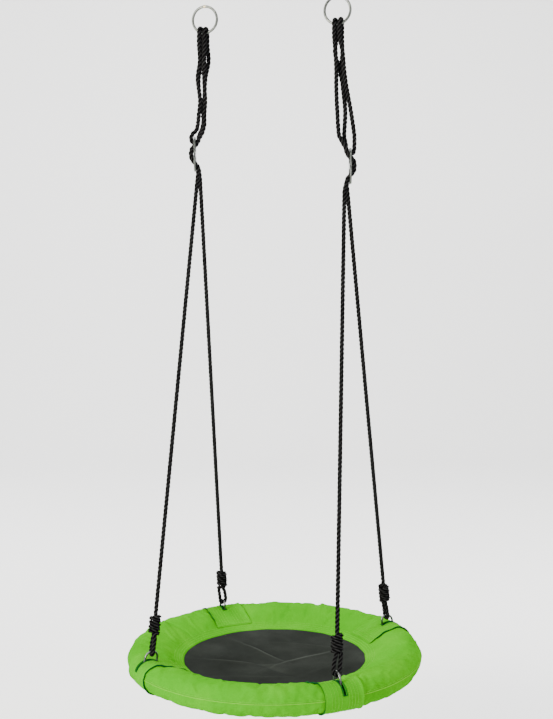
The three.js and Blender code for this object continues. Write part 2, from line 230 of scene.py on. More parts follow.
# How far outward of each ring's lowest point the inner and the outer loop hang.
LOOP_OUT = {
    "left": {"inner": -0.0024, "outer": 0.011},
    "right": {"inner": -0.005, "outer": 0.008},
}
PLATE_X = 0.189
PLATE_Z = {"left": -0.335, "right": -0.373}
PLATE_TURN = math.radians(20)
PLATE_T = 0.004
LOBE_HALF_W = 0.0235
LOBE_CORNER = 0.014
LOBE_TOP = 0.040
LOBE_LOW = 0.011
HOLE_HALF_W = 0.0166
HOLE_LOW = 0.006
HOLE_TOP = 0.033
HOLE_CORNER = 0.008
EXIT_IN = {
    "left": {"front": 0.005, "back": 0.011},
    "right": {"front": 0.014, "back": 0.005},
}
WEAVE_V = 0.0105
LEG_END = 0.062
LEG_LEAD = 0.005
BIGHT_R = 0.0086
BIGHT_Z = 0.0355
SEAT_Z = -1.517
TUBE_RING_R = 0.317
COVER_R = 0.033
HEM_R = 0.2152
HEM_TOP = -0.0074
HEM_LOW = -0.0109
FOAM_R = 0.0275
SEAM_ANGLE = math.radians(8)
BAND_W = 0.094
BAND_INNER_R = 0.238
BAND_END_ANGLE = math.radians(-100)
SLOT_IN = 0.025
SLOT_OUT = 0.030
LINK_R = 0.0147
LINK_WIRE_R = 0.0025
LINK_LOW = 0.0011
LINK_TOP = 0.052
LINK_LEAN = math.radians(9.4)
KNOT_ROPE_SHARE = 0.9
EYE_R = 0.0074
COIL_R = 0.0095
COIL_PITCH = 0.0094
COIL_TURNS = 4.25
COIL_STEPS = 10
COIL_LOW = 0.040
KNOT_TOP = 0.089
TRAVEL = 0.2

SIDES = (("left", -1), ("right", 1))
CORNERS = (
    ("front_left", -1, -1),
    ("back_left", -1, 1),
    ("front_right", 1, -1),
    ("back_right", 1, 1),
)

# ---- camera ----
CAMERA_AZIMUTH = math.radians(19.2)
CAMERA_ELEVATION = math.radians(5.1)
CAMERA_DISTANCE = 2.888
CAMERA_TARGET = Vector((0.009, 0.003, -0.814))
CAMERA_ROLL = math.radians(-0.4)


def add_camera():
    data = bpy.data.cameras.new("camera")
    data.sensor_width = 36
    data.lens = 62.0
    camera = bpy.data.objects.new("camera", data)
    bpy.context.scene.collection.objects.link(camera)
    direction = Vector(
        (
            math.sin(CAMERA_AZIMUTH) * math.cos(CAMERA_ELEVATION),
            -math.cos(CAMERA_AZIMUTH) * math.cos(CAMERA_ELEVATION),
            math.sin(CAMERA_ELEVATION),
        )
    )
    place = CAMERA_TARGET + direction * CAMERA_DISTANCE
    turn = (-direction).to_track_quat("-Z", "Y").to_matrix().to_4x4()
    camera.matrix_world = Matrix.Translation(place) @ turn @ Matrix.Rotation(CAMERA_ROLL, 4, "Z")
    bpy.context.scene.camera = camera


# ---- materials ----
class Shader:
    """A material's node tree with short calls for the nodes used here."""

    def __init__(self, name, roughness, metallic=0.0, sheen=0.0, specular=0.5, tint=(1, 1, 1)):
        self.material = bpy.data.materials.new(name)
        self.material.use_nodes = True
        self.nodes = self.material.node_tree.nodes
        self.links = self.material.node_tree.links
        self.bsdf = self.nodes["Principled BSDF"]
        self.bsdf.inputs["Roughness"].default_value = roughness
        self.bsdf.inputs["Metallic"].default_value = metallic
        self.bsdf.inputs["Sheen Weight"].default_value = sheen
        self.bsdf.inputs["Sheen Roughness"].default_value = 0.4
        self.bsdf.inputs["Sheen Tint"].default_value = (*tint, 1)
        self.bsdf.inputs["Specular IOR Level"].default_value = specular
        self.bsdf.inputs["Specular Tint"].default_value = (*tint, 1)

    def node(self, kind, **values):
        node = self.nodes.new(kind)
        for key, value in values.items():
            if hasattr(node, key):
                setattr(node, key, value)
            else:
                node.inputs[key.replace("_", " ")].default_value = value
        return node

    def link(self, source, target):
        self.links.new(source, target)

    def coordinates(self, kind="Object"):
        return self.node("ShaderNodeTexCoord").outputs[kind]

    def noise(self, vector, scale, detail=3.0):
        node = self.node("ShaderNodeTexNoise", Scale=scale, Detail=detail)
        self.link(vector, node.inputs["Vector"])
        return node.outputs["Fac"]

    def wave(self, vector, scale, direction="X", distortion=0.0):
        node = self.node("ShaderNodeTexWave", Scale=scale, Distortion=distortion)
        node.bands_direction = direction
        self.link(vector, node.inputs["Vector"])
        return node.outputs["Fac"]

    def voronoi(self, vector, scale):
        node = self.node("ShaderNodeTexVoronoi", Scale=scale)
        self.link(vector, node.inputs["Vector"])
        return node.outputs["Distance"]

    def math(self, operation, first, second):
        node = self.node("ShaderNodeMath", operation=operation)
        for socket, value in zip(node.inputs, (first, second)):
            if isinstance(value, float):
                socket.default_value = value
            else:
                self.link(value, socket)
        return node.outputs["Value"]

    def mixed(self, *shares):
        """The sum of outputs, each times its share: (output, share) pairs."""
        terms = [self.math("MULTIPLY", output, share) for output, share in shares]
        return self.math("ADD", *terms)

    def ramp(self, factor, stops):
        node = self.node("ShaderNodeValToRGB")
        elements = node.color_ramp.elements
        for index, (place, colour) in enumerate(stops):
            element = elements[index] if index < 2 else elements.new(place)
            element.position = place
            element.color = (*colour, 1.0)
        self.link(factor, node.inputs["Fac"])
        return node.outputs["Color"]

    def roughness_range(self, factor, low, high):
        node = self.node("ShaderNodeMapRange")
        node.inputs["To Min"].default_value = low
        node.inputs["To Max"].default_value = high
        self.link(factor, node.inputs["Value"])
        self.link(node.outputs["Result"], self.bsdf.inputs["Roughness"])

    def colour(self, output):
        self.link(output, self.bsdf.inputs["Base Color"])

    def bump(self, *layers):
        """Layers of (height output, distance in metres, strength), the first the broadest."""
        below = None
        for height, distance, strength in layers:
            node = self.node("ShaderNodeBump", Distance=distance, Strength=strength)
            self.link(height, node.inputs["Height"])
            if below is not None:
                self.link(below, node.inputs["Normal"])
            below = node.outputs["Normal"]
        self.link(below, self.bsdf.inputs["Normal"])


def woven(name, dark, mid, light, thread=0.0011, sheen=0.05, roughness=0.82, tint=(0.35, 1.0, 0.1)):
    """Plain-weave cloth: threads both ways, slubs, and soft colour variation."""
    shader = Shader(name, roughness, sheen=sheen, specular=0.0, tint=tint)
    place = shader.coordinates()
    wave_scale = math.pi / 10 / thread
    across = shader.wave(place, wave_scale, "X", 0.4)
    along = shader.wave(place, wave_scale, "Y", 0.4)
    upright = shader.wave(place, wave_scale, "Z", 0.4)
    weave = shader.math("MAXIMUM", across, along)
    rib = shader.math("ADD", shader.math("MULTIPLY", upright, 0.4), 0.6)
    weave = shader.math("MULTIPLY", weave, rib)
    broad = shader.noise(place, 9.0, 4.0)
    slubs = shader.noise(place, 420.0, 2.0)
    tone = shader.mixed((broad, 0.75), (slubs, 0.25))
    shader.colour(shader.ramp(tone, ((0.3, dark), (0.52, mid), (0.72, light))))
    shader.roughness_range(slubs, roughness - 0.1, roughness + 0.12)
    shader.bump((broad, 0.0012, 0.35), (weave, 0.00018, 0.55))
    return shader.material


def add_painted_crease_highlights(material, pale):
    """Lightens a cloth along the tops of its creases, where its mesh says so: a painted highlight."""
    nodes, links = material.node_tree.nodes, material.node_tree.links
    base = nodes["Principled BSDF"].inputs["Base Color"]
    worn = nodes.new("ShaderNodeAttribute")
    worn.attribute_name = "worn"
    mix = nodes.new("ShaderNodeMix")
    mix.data_type = "RGBA"
    cloth_socket, pale_socket = [socket for socket in mix.inputs if socket.type == "RGBA"]
    result = next(socket for socket in mix.outputs if socket.type == "RGBA")
    links.new(worn.outputs["Fac"], mix.inputs[0])
    links.new(base.links[0].from_socket, cloth_socket)
    pale_socket.default_value = (*pale, 1)
    links.new(result, base)


def rope_fibre(name, groove, light):
    """Bundled filaments along each strand, with a painted highlight on each strand's outside and painted shade down in
    the grooves.
    """
    shader = Shader(name, 0.6, specular=0.0)
    along = shader.coordinates("UV")
    yarn = shader.wave(along, math.pi / 10, "X", 0.6)
    split = shader.node("ShaderNodeSeparateXYZ")
    shader.link(along, split.inputs["Vector"])
    # 1 on each strand's outside, 0 down in the groove: the mask of the painted highlight and the painted shade.
    outward = shader.math("ABSOLUTE", shader.math("SUBTRACT", split.outputs["Y"], 0.5), 0.0)
    place = shader.coordinates()
    hairs = shader.noise(place, 900.0, 2.0)
    wear = shader.noise(place, 30.0, 3.0)
    fibres = shader.math("ADD", shader.mixed((yarn, 0.35), (wear, 0.3)), 0.5)
    tone = shader.math("MULTIPLY", fibres, shader.math("MULTIPLY", outward, 2.0))
    # From the painted groove shade up to the painted strand highlight.
    shader.colour(shader.ramp(tone, ((0.45, groove), (1.0, light))))
    shader.roughness_range(hairs, 0.5, 0.7)
    shader.bump((yarn, 0.00035, 0.8), (hairs, 0.00012, 0.5))
    return shader.material


def galvanised(name, dark, light):
    """Zinc-coated steel: cool spangles, faint streaks and small pits."""
    shader = Shader(name, 0.3, metallic=1.0)
    place = shader.coordinates()
    cells = shader.math("MULTIPLY", shader.voronoi(place, 260.0), 1.4)
    broad = shader.noise(place, 55.0, 3.0)
    tone = shader.mixed((cells, 0.35), (broad, 0.65))
    shader.colour(shader.ramp(tone, ((0.2, dark), (0.75, light))))
    shader.roughness_range(broad, 0.2, 0.42)
    shader.bump((cells, 0.00008, 0.25), (shader.noise(place, 1400.0, 2.0), 0.00004, 0.3))
    return shader.material


def weld(name):
    """Rippled bead with a straw-coloured tint from the heat."""
    shader = Shader(name, 0.42, metallic=0.9)
    place = shader.coordinates()
    ripple = shader.noise(place, 500.0, 3.0)
    shader.colour(shader.ramp(ripple, ((0.3, (0.33, 0.27, 0.16)), (0.7, (0.62, 0.55, 0.36)))))
    shader.bump((ripple, 0.0003, 0.6))
    return shader.material


def powder_coat(name, dark, light):
    """Sprayed paint with a fine orange peel."""
    shader = Shader(name, 0.5)
    place = shader.coordinates()
    peel = shader.noise(place, 700.0, 3.0)
    shader.colour(shader.ramp(shader.noise(place, 20.0, 3.0), ((0.3, dark), (0.7, light))))
    shader.bump((peel, 0.0002, 0.3))
    return shader.material


def foam_material(name, dark, light):
    """Grey foam with open pores."""
    shader = Shader(name, 0.9)
    place = shader.coordinates()
    pores = shader.voronoi(place, 500.0)
    shader.colour(shader.ramp(pores, ((0.1, dark), (0.5, light))))
    shader.bump((pores, 0.0006, 0.7))
    return shader.material


WHITE = (1, 1, 1)
COVER_CLOTH = woven("cover_cloth", (0.026, 0.190, 0.0012), (0.039, 0.235, 0.0022), (0.062, 0.280, 0.005))
BAND_CLOTH = woven("band_cloth", (0.028, 0.200, 0.0014), (0.042, 0.245, 0.003), (0.062, 0.290, 0.006))
PIPING_CLOTH = woven("piping_cloth", (0.06, 0.27, 0.007), (0.09, 0.32, 0.012), (0.12, 0.37, 0.018),
                     thread=0.0006)
THREAD = woven("thread", (0.09, 0.33, 0.016), (0.12, 0.38, 0.026), (0.15, 0.43, 0.036), thread=0.0003)
# Dark green for the slot walls, the slot rims and the bands' long sides: painted shade in the gaps and recesses.
EDGE_SHADE_CLOTH = woven("slot_edge", (0.002, 0.035, 0.008), (0.003, 0.05, 0.012), (0.006, 0.075, 0.018),
                  thread=0.0004)
MAT_CLOTH = woven("mat_cloth", (0.010, 0.0115, 0.010), (0.0155, 0.0175, 0.0155), (0.024, 0.027, 0.024),
                  thread=0.0016, sheen=0.0, roughness=0.9, tint=WHITE)
# The mat's raised creases get a painted highlight along their tops.
add_painted_crease_highlights(MAT_CLOTH, (0.040, 0.045, 0.040))
# Rope colour: painted shade in the strand grooves and a painted highlight on the strand tops.
ROPE_FIBRE = rope_fibre("rope_fibre", (0.0004, 0.0004, 0.0005), (0.028, 0.028, 0.029))
STEEL = galvanised("galvanised_steel", (0.018, 0.020, 0.018), (0.15, 0.16, 0.15))
WELD = weld("weld")
FRAME_PAINT = powder_coat("frame_paint", (0.02, 0.021, 0.022), (0.035, 0.036, 0.037))
FOAM = foam_material("foam", (0.25, 0.25, 0.24), (0.40, 0.40, 0.38))


# ---- mesh helpers ----
def mesh_object(name, verts, faces, material, uvs=None):
    mesh = bpy.data.meshes.new(name)
    mesh.from_pydata([tuple(v) for v in verts], [], faces)
    mesh.polygons.foreach_set("use_smooth", [True] * len(mesh.polygons))
    mesh.materials.append(material)
    if uvs is not None:
        layer = mesh.uv_layers.new(name="UVMap")
        for loop, uv in zip(layer.data, uvs):
            loop.uv = uv
    mesh.update()
    obj = bpy.data.objects.new(name, mesh)
    bpy.context.scene.collection.objects.link(obj)
    return obj


def fit_in(obj, slot, body, *nodes):
    """Declares a piece: the CAD nodes it stands for, its material slot and the body it moves with."""
    if nodes:
        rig.replaces(obj, *nodes)
    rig.slot(obj, slot)
    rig.ride(obj, body)


def clean(mesh, merge):
    """Joins points closer than merge and turns all faces outward."""
    edit = bmesh.new()
    edit.from_mesh(mesh)
    bmesh.ops.remove_doubles(edit, verts=edit.verts, dist=merge)
    bmesh.ops.recalc_face_normals(edit, faces=edit.faces)
    edit.to_mesh(mesh)
    edit.free()


def evaluated_mesh(obj):
    bpy.context.view_layer.update()
    depsgraph = bpy.context.evaluated_depsgraph_get()
    return bpy.data.meshes.new_from_object(obj.evaluated_get(depsgraph))


def arc(place, radius, start, end, steps):
    """Points of an arc: place takes the two offsets of each point from the arc's centre."""
    points = []
    for i in range(steps + 1):
        angle = start + (end - start) * i / steps
        points.append(place(radius * math.cos(angle), radius * math.sin(angle)))
    return points


def strip(here, there, count, turn=0):
    """Faces between two rings of count points, which begin at the indices here and there."""
    faces = []
    for k in range(count):
        far, near = there + (k + 1 + turn) % count, there + (k + turn) % count
        faces.append((here + k, here + (k + 1) % count, far, near))
    return faces


def route_frames(points, closed=False):
    """Tangent, normal and binormal at each point, carried along without twisting."""
    count = len(points)
    tangents = []
    for i in range(count):
        if closed:
            ahead, behind = points[(i + 1) % count], points[i - 1]
        else:
            ahead, behind = points[min(i + 1, count - 1)], points[max(i - 1, 0)]
        tangents.append((ahead - behind).normalized())
    normal = tangents[0].orthogonal().normalized()
    frames = []
    for tangent in tangents:
        normal = (normal - tangent * normal.dot(tangent)).normalized()
        frames.append((tangent, normal, tangent.cross(normal)))
    return frames


def tube(points, radius, sides, closed=False, radius_at=None):
    """Vertices and faces of a round bar along points; radius_at scales it by its share of the way."""
    frames = route_frames(points, closed)
    verts = []
    count = len(points)
    for i, (point, (_, normal, binormal)) in enumerate(zip(points, frames)):
        size = radius if radius_at is None else radius * radius_at(i / count)
        for k in range(sides):
            angle = 2 * math.pi * k / sides
            verts.append(point + (normal * math.cos(angle) + binormal * math.sin(angle)) * size)
    faces = []
    spans = count if closed else count - 1
    shift = 0
    if closed:
        last = verts[-sides:]
        shift = min(range(sides), key=lambda k: (last[0] - verts[k]).length)
    for i in range(spans):
        turn = shift if closed and i == spans - 1 else 0
        faces += strip(i * sides, ((i + 1) % count) * sides, sides, turn)
    if not closed:
        faces.append(tuple(reversed(range(sides))))
        faces.append(tuple(range((count - 1) * sides, count * sides)))
    return verts, faces


def smooth_route(points, step):
    """A centripetal curve through points, resampled about every step."""
    fine = []
    padded = [points[0] * 2 - points[1], *points, points[-1] * 2 - points[-2]]
    for p0, p1, p2, p3 in zip(padded, padded[1:], padded[2:], padded[3:]):
        t1 = math.sqrt((p1 - p0).length)
        t2 = t1 + math.sqrt((p2 - p1).length)
        t3 = t2 + math.sqrt((p3 - p2).length)
        parts = max(2, math.ceil((p2 - p1).length / step * 2))
        for i in range(parts):
            t = t1 + (t2 - t1) * i / parts
            a1 = p0 * ((t1 - t) / t1) + p1 * (t / t1)
            a2 = p1 * ((t2 - t) / (t2 - t1)) + p2 * ((t - t1) / (t2 - t1))
            a3 = p2 * ((t3 - t) / (t3 - t2)) + p3 * ((t - t2) / (t3 - t2))
            b1 = a1 * ((t2 - t) / t2) + a2 * (t / t2)
            b2 = a2 * ((t3 - t) / (t3 - t1)) + a3 * ((t - t1) / (t3 - t1))
            fine.append(b1 * ((t2 - t) / (t2 - t1)) + b2 * ((t - t1) / (t2 - t1)))
    fine.append(points[-1].copy())
    return even_steps(fine, step)


def route_length(points):
    return sum((b - a).length for a, b in zip(points, points[1:]))


def even_steps(points, step):
    total = route_length(points)
    count = max(2, round(total / step))
    result = [points[0].copy()]
    wanted = total / count
    gone = 0.0
    for a, b in zip(points, points[1:]):
        span = (b - a).length
        while span > 0 and gone + span >= wanted * len(result) - 1e-9 and len(result) < count:
            share = (wanted * len(result) - gone) / span
            result.append(a.lerp(b, share))
        gone += span
    result.append(points[-1].copy())
    return result


# ---- the ropes' routes, as in the CAD model ----
def at_plate(side, sx, u, v, z):
    c, s = math.cos(PLATE_TURN), math.sin(PLATE_TURN)
    x = sx * PLATE_X + sx * u * c - v * s
    y = sx * u * s + v * c
    return Vector((x, y, PLATE_Z[side] + z))


# The weave through a plate, as (u, z) from the bottom.
WEAVE_ROUTE = (
    (-0.0068, -0.030), (0, -0.0205), (0.0068, -0.012), (0.0092, 0), (0.0068, 0.012), (0, 0.0205),
    (-0.0066, 0.030),
)

# The legs above each plate, as (u, z) from the plate up to the leg's end.
LEGS = {
    "left": {
        "weave_front": ((-0.013, 0.040), (-0.019, 0.051), (-0.022, LEG_END)),
        "weave_back": ((-0.0105, 0.040), (-0.014, 0.0518), (-0.017, LEG_END)),
        "bight_inner": ((-0.010, 0.044), (-0.015, 0.0535), (-0.019, LEG_END)),
        "bight_outer": ((0.0078, 0.042), (0.0046, 0.048), (-0.0005, 0.0528), (-0.0046, 0.0572),
                        (-0.0058, LEG_END)),
    },
    "right": {
        "weave_front": ((-0.011, 0.040), (-0.0176, 0.0518), (-0.023, LEG_END)),
        "weave_back": ((-0.009, 0.040), (-0.0104, 0.0518), (-0.012, LEG_END)),
        "bight_inner": ((-0.0092, 0.044), (-0.0108, 0.0535), (-0.0125, LEG_END)),
        "bight_outer": ((0.0092, 0.044), (0.0096, 0.0535), (0.0095, LEG_END)),
    },
}
LEG_V = {"weave_front": -WEAVE_V, "weave_back": WEAVE_V, "bight_inner": 0, "bight_outer": 0}

# Strand routes between ring and plate: (height, outward offset from the ring, offset to the back).
STRANDS = {
    "left": {
        "inner_front": ((-0.085, -0.0024, -0.009), (-0.120, -0.001, -0.009), (-0.160, 0.0005, -0.008),
                        (-0.212, -0.001, -0.006), (-0.245, 0.002, -0.0045)),
        "inner_back": ((-0.085, -0.0024, 0.009), (-0.120, -0.0045, 0.0095), (-0.160, 0.004, 0.0095),
                       (-0.212, 0.006, 0.005), (-0.245, 0.0095, 0.006)),
        "outer_front": ((-0.085, 0.0118, -0.009), (-0.120, 0.0095, -0.010), (-0.160, 0.016, -0.009),
                        (-0.212, 0.009, -0.013), (-0.245, 0.015, -0.008)),
        "outer_back": ((-0.085, 0.0145, 0.009), (-0.120, 0.013, 0.0095), (-0.160, 0.021, 0.009),
                       (-0.212, 0.0175, 0.0095), (-0.245, 0.013, 0.017)),
    },
    "right": {
        "inner_front": ((-0.088, -0.005, -0.009), (-0.118, -0.002, -0.009), (-0.160, 0, -0.0105),
                        (-0.197, 0.0005, -0.0125), (-0.251, 0.004, -0.017)),
        "inner_back": ((-0.088, -0.005, 0.009), (-0.118, -0.0085, 0.009), (-0.160, 0.0055, -0.0005),
                       (-0.197, 0.013, -0.002), (-0.251, 0.0185, -0.003)),
        "outer_front": ((-0.088, 0.008, -0.009), (-0.118, 0.014, -0.009), (-0.160, 0.018, -0.009),
                        (-0.197, 0.023, -0.009), (-0.251, 0.031, -0.001)),
        "outer_back": ((-0.088, 0.008, 0.009), (-0.118, 0.0085, 0.0095), (-0.160, 0.0055, 0.012),
                       (-0.197, 0.0095, 0.0095), (-0.251, 0.015, 0.0085)),
    },
}
LOOP_LEGS = {
    "inner": ("weave_front", "bight_inner"),
    "outer": ("bight_outer", "weave_back"),
}
HALF_TURN_STEPS = 6


def half_turn(place, radius, start, end):
    return arc(place, radius, start, end, HALF_TURN_STEPS)


def corner_frame(sx, sy):
    out = Vector((sx, sy, 0)).normalized()
    up = Vector((0, 0, math.cos(LINK_LEAN))) - out * math.sin(LINK_LEAN)
    tube_centre = out * TUBE_RING_R + Vector((0, 0, SEAT_Z))
    return out, up, tube_centre, tube_centre + up * LINK_TOP


def knot_frame(side, sx, sy):
    out, _, _, eye = corner_frame(sx, sy)
    inward = EXIT_IN[side]["front" if sy < 0 else "back"]
    top = at_plate(side, sx, -inward, sy * WEAVE_V, -LEG_END)
    axis = (top - eye).normalized()
    along = Vector((-out.y, out.x, 0))
    along = (along - axis * along.dot(axis)).normalized()
    across = axis.cross(along)
    return (lambda t, n, w: eye + along * t + across * n + axis * w), axis, top


def knot_route(side, sx, sy):
    at, _, _ = knot_frame(side, sx, sy)
    points = [at(0, 0, KNOT_TOP), at(0, 0, 0.066), at(0, 0, 0.046), at(-0.002, 0, 0.035),
              at(-0.006, 0, 0.021)]
    points += half_turn(lambda t, w: at(t, 0, w), EYE_R, math.pi, 2 * math.pi)
    points += [at(0.0084, 0, 0.014), at(COIL_R, 0, 0.028)]
    for i in range(int(COIL_TURNS * COIL_STEPS) + 1):
        turn = i / COIL_STEPS
        angle = 2 * math.pi * turn
        rise = COIL_LOW + COIL_PITCH * turn
        points.append(at(COIL_R * math.cos(angle), COIL_R * math.sin(angle), rise))
    return points


def lower_route(side, sx, sy):
    at, _, top = knot_frame(side, sx, sy)
    return [at(0, 0, KNOT_TOP), top]


def leg_points(side, sx, leg):
    return [at_plate(side, sx, u, LEG_V[leg], z) for u, z in LEGS[side][leg]]


def weave_route(side, sx, sy):
    _, axis, top = knot_frame(side, sx, sy)
    points = [top, top + axis * LEG_LEAD]
    points += [at_plate(side, sx, u, sy * WEAVE_V, z) for u, z in WEAVE_ROUTE]
    return points + leg_points(side, sx, "weave_front" if sy < 0 else "weave_back")


def bight_route(side, sx):
    points = list(reversed(leg_points(side, sx, "bight_inner")))

    def place(u, z):
        return at_plate(side, sx, u, 0, BIGHT_Z + z)

    points += half_turn(place, BIGHT_R, math.pi, 2 * math.pi)
    return points + leg_points(side, sx, "bight_outer")


def leg_lead(side, sx, leg):
    """Where a loop takes over from a leg: its first two points, in line with the leg's end."""
    before, end = leg_points(side, sx, leg)[-2:]
    return [end, end + (end - before).normalized() * LEG_LEAD]


def loop_route(side, sx, which):
    offset = LOOP_OUT[side][which]
    wire_z = RING_Z - math.sqrt(RING_R ** 2 - offset ** 2)
    front_leg, back_leg = LOOP_LEGS[which]

    def strand(name):
        return [Vector((sx * (RING_X + out), back, z)) for z, out, back in STRANDS[side][name]]

    def over_wire(y, z):
        return Vector((sx * (RING_X + offset), y, wire_z + z))

    points = leg_lead(side, sx, front_leg)
    points += reversed(strand(which + "_front"))
    points += half_turn(over_wire, HAIRPIN_R, math.pi, 0)
    points += strand(which + "_back")
    return points + list(reversed(leg_lead(side, sx, back_leg)))


# ---- twisted rope ----
STRAND_R = 0.00255
STRAND_OFFSET = 0.00295
ROPE_PITCH = 0.030
ROPE_STEP = 0.0022
STRAND_SIDES = 10
YARNS = 7
YARN_PITCH = 0.012
KNOT_TAPER = 0.020


def knot_share(gone):
    """The rope's size in a knot, where it is pulled tight, at a distance from the knot's top."""
    return 1 - (1 - KNOT_ROPE_SHARE) * min(1.0, gone / KNOT_TAPER)


def rope_section(points, frames, start_length, name, size_at):
    """Three strands laid round the route; start_length keeps the twist going from piece to piece."""
    verts, faces, uvs = [], [], []
    count = len(points)
    lengths = [start_length]
    for a, b in zip(points, points[1:]):
        lengths.append(lengths[-1] + (b - a).length)
    lean = 2 * math.pi * STRAND_OFFSET / ROPE_PITCH
    for strand in range(3):
        base = len(verts)
        for point, (tangent, normal, binormal), length in zip(points, frames, lengths):
            size = size_at(length - start_length, lengths[-1] - length)
            turn = 2 * math.pi * (length / ROPE_PITCH + strand / 3)
            out = normal * math.cos(turn) + binormal * math.sin(turn)
            side = (tangent.cross(out) - tangent * lean).normalized()
            centre = point + out * STRAND_OFFSET * size
            for k in range(STRAND_SIDES):
                angle = 2 * math.pi * k / STRAND_SIDES
                reach = STRAND_R * size
                verts.append(centre + (out * math.cos(angle) + side * math.sin(angle)) * reach)
        for i in range(count - 1):
            here = base + i * STRAND_SIDES
            faces += strip(here, here + STRAND_SIDES, STRAND_SIDES)
            for k in range(STRAND_SIDES):
                for step, row in ((k, i), (k + 1, i), (k + 1, i + 1), (k, i + 1)):
                    share = step / STRAND_SIDES
                    uvs.append((YARNS * share - lengths[row] / YARN_PITCH, share))
        faces.append(tuple(base + k for k in reversed(range(STRAND_SIDES))))
        uvs += [(0.0, 0.0)] * STRAND_SIDES
        faces.append(tuple(base + (count - 1) * STRAND_SIDES + k for k in range(STRAND_SIDES)))
        uvs += [(0.0, 0.0)] * STRAND_SIDES
    return mesh_object(name, verts, faces, ROPE_FIBRE, uvs)


def size_rule(node, position):
    """How thick a piece is along its way: only the knots, first and last of a rope, are thinner."""
    if "_knot_" not in node:
        return lambda gone, left: 1.0
    if position == 0:
        return lambda gone, left: knot_share(left)
    return lambda gone, left: knot_share(gone)


def rope_pieces(side, sx):
    """The side's one rope in order, from the front corner's tail to the back corner's tail."""
    front, back = f"front_{side}", f"back_{side}"
    return [
        (f"rope_knot_{front}", list(reversed(knot_route(side, sx, -1)))),
        (f"rope_lower_{front}", lower_route(side, sx, -1)),
        (f"rope_weave_{front}", weave_route(side, sx, -1)),
        (f"rope_loop_inner_{side}", loop_route(side, sx, "inner")),
        (f"rope_bight_{side}", bight_route(side, sx)),
        (f"rope_loop_outer_{side}", loop_route(side, sx, "outer")),
        (f"rope_weave_{back}", list(reversed(weave_route(side, sx, 1)))),
        (f"rope_lower_{back}", list(reversed(lower_route(side, sx, 1)))),
        (f"rope_knot_{back}", knot_route(side, sx, 1)),
    ]


def add_ropes():
    for side, sx in SIDES:
        named = [(node, smooth_route(points, ROPE_STEP)) for node, points in rope_pieces(side, sx)]
        whole, cuts = [], []
        for _, points in named:
            start = max(0, len(whole) - 1)
            whole += points if not whole else points[1:]
            cuts.append((start, len(whole)))
        frames = route_frames(whole)
        for position, ((node, _), (start, end)) in enumerate(zip(named, cuts)):
            points = whole[start:end]
            gone = route_length(whole[:start + 1])
            piece = rope_section(points, frames[start:end], gone, node.replace("rope_", "twisted_rope_"),
                                 size_rule(node, position))
            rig.replaces(piece, node)
            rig.slot(piece, "rope")
            hang_rope(piece, node, side, points)


def hang_rope(piece, node, side, points):
    length = route_length(points)
    if "_lower_" in node:
        low = min(points, key=lambda p: p.z)
        height = max(p.z for p in points) - low.z
        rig.squash(piece, "seat_height", (0, 0, 1), low, (height - 2 * TRAVEL) / height)
        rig.ride(piece, "seat")
        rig.cord(piece, low, length, ROPE_D, "object", "limp", "taut", path=points)
    elif "_loop_" in node:
        top = Vector((0, 0, RING_Z - RING_R - 0.02))
        bottom = Vector((0, 0, PLATE_Z[side] + LEG_END + LEG_LEAD))
        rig.blend(piece, "suspension", f"{side}_adjuster", top, bottom)
        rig.cord(piece, points[0], length, ROPE_D, "object", "limp", "taut", path=points)
    elif "_knot_" in node:
        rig.ride(piece, "seat")
    else:
        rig.ride(piece, f"{side}_adjuster")


# ---- steel ----
RING_STEPS = 96
WELD_STEPS = 12
WELD_ANGLE = math.radians(9)
WELD_WAVES = 900
WELD_WAVE = 0.0004


def bead_size(share):
    """The weld bead's thickness over the wire's, at a share of its 13 rings."""
    return 0.55 + 0.62 * math.sin(math.pi * min(1.0, share * (WELD_STEPS + 1) / WELD_STEPS)) ** 0.5


def add_top_ring(side, sx):
    def place(x, z):
        return Vector((sx * RING_X + x, 0, RING_Z + z))

    top = math.pi / 2
    points = arc(lambda z, x: place(x, z), RING_R, 0, 2 * math.pi, RING_STEPS)[:-1]
    verts, faces = tube(points, RING_WIRE_R, 20, closed=True)
    ring = mesh_object(f"steel_ring_{side}", verts, faces, STEEL)
    fit_in(ring, "steel", "top_rings", f"top_ring_{side}")
    points = arc(place, RING_R, top + WELD_ANGLE, top - WELD_ANGLE, WELD_STEPS)
    verts, faces = tube(points, RING_WIRE_R, 20, radius_at=bead_size)
    for vert in verts:
        vert.z += WELD_WAVE * noise.noise(vert * WELD_WAVES)
    bead = mesh_object(f"ring_weld_{side}", verts, faces, WELD)
    fit_in(bead, "steel", "top_rings")


def add_link(corner, sx, sy):
    out, up, centre, _ = corner_frame(sx, sy)
    top, low = LINK_TOP - LINK_R, LINK_LOW
    points = arc(lambda r, z: centre + out * r + up * (top + z), LINK_R, 0, math.pi, 20)
    points += arc(lambda r, z: centre + out * r + up * (low + z), LINK_R, math.pi, 2 * math.pi, 20)
    verts, faces = tube(points, LINK_WIRE_R, 18, closed=True)
    link = mesh_object(f"steel_link_{corner}", verts, faces, STEEL)
    fit_in(link, "steel", "seat", f"frame_link_{corner}")


def round_corner(cx, cz, radius, start, end):
    """A plate's corner, its angles in degrees."""
    return arc(lambda x, z: (cx + x, cz + z), radius, math.radians(start), math.radians(end), 10)


def plate_outline():
    w = LOBE_HALF_W - LOBE_CORNER
    high = LOBE_TOP - LOBE_CORNER
    dip = math.degrees(math.asin(LOBE_LOW / LOBE_CORNER))
    corners = (
        (w, LOBE_LOW, -dip, 0), (w, high, 0, 90), (-w, high, 90, 180), (-w, LOBE_LOW, 180, 180 + dip),
        (-w, -LOBE_LOW, 180 - dip, 180), (-w, -high, 180, 270), (w, -high, -90, 0), (w, -LOBE_LOW, 0, dip),
    )
    return [point for x, z, start, end in corners for point in round_corner(x, z, LOBE_CORNER, start, end)]


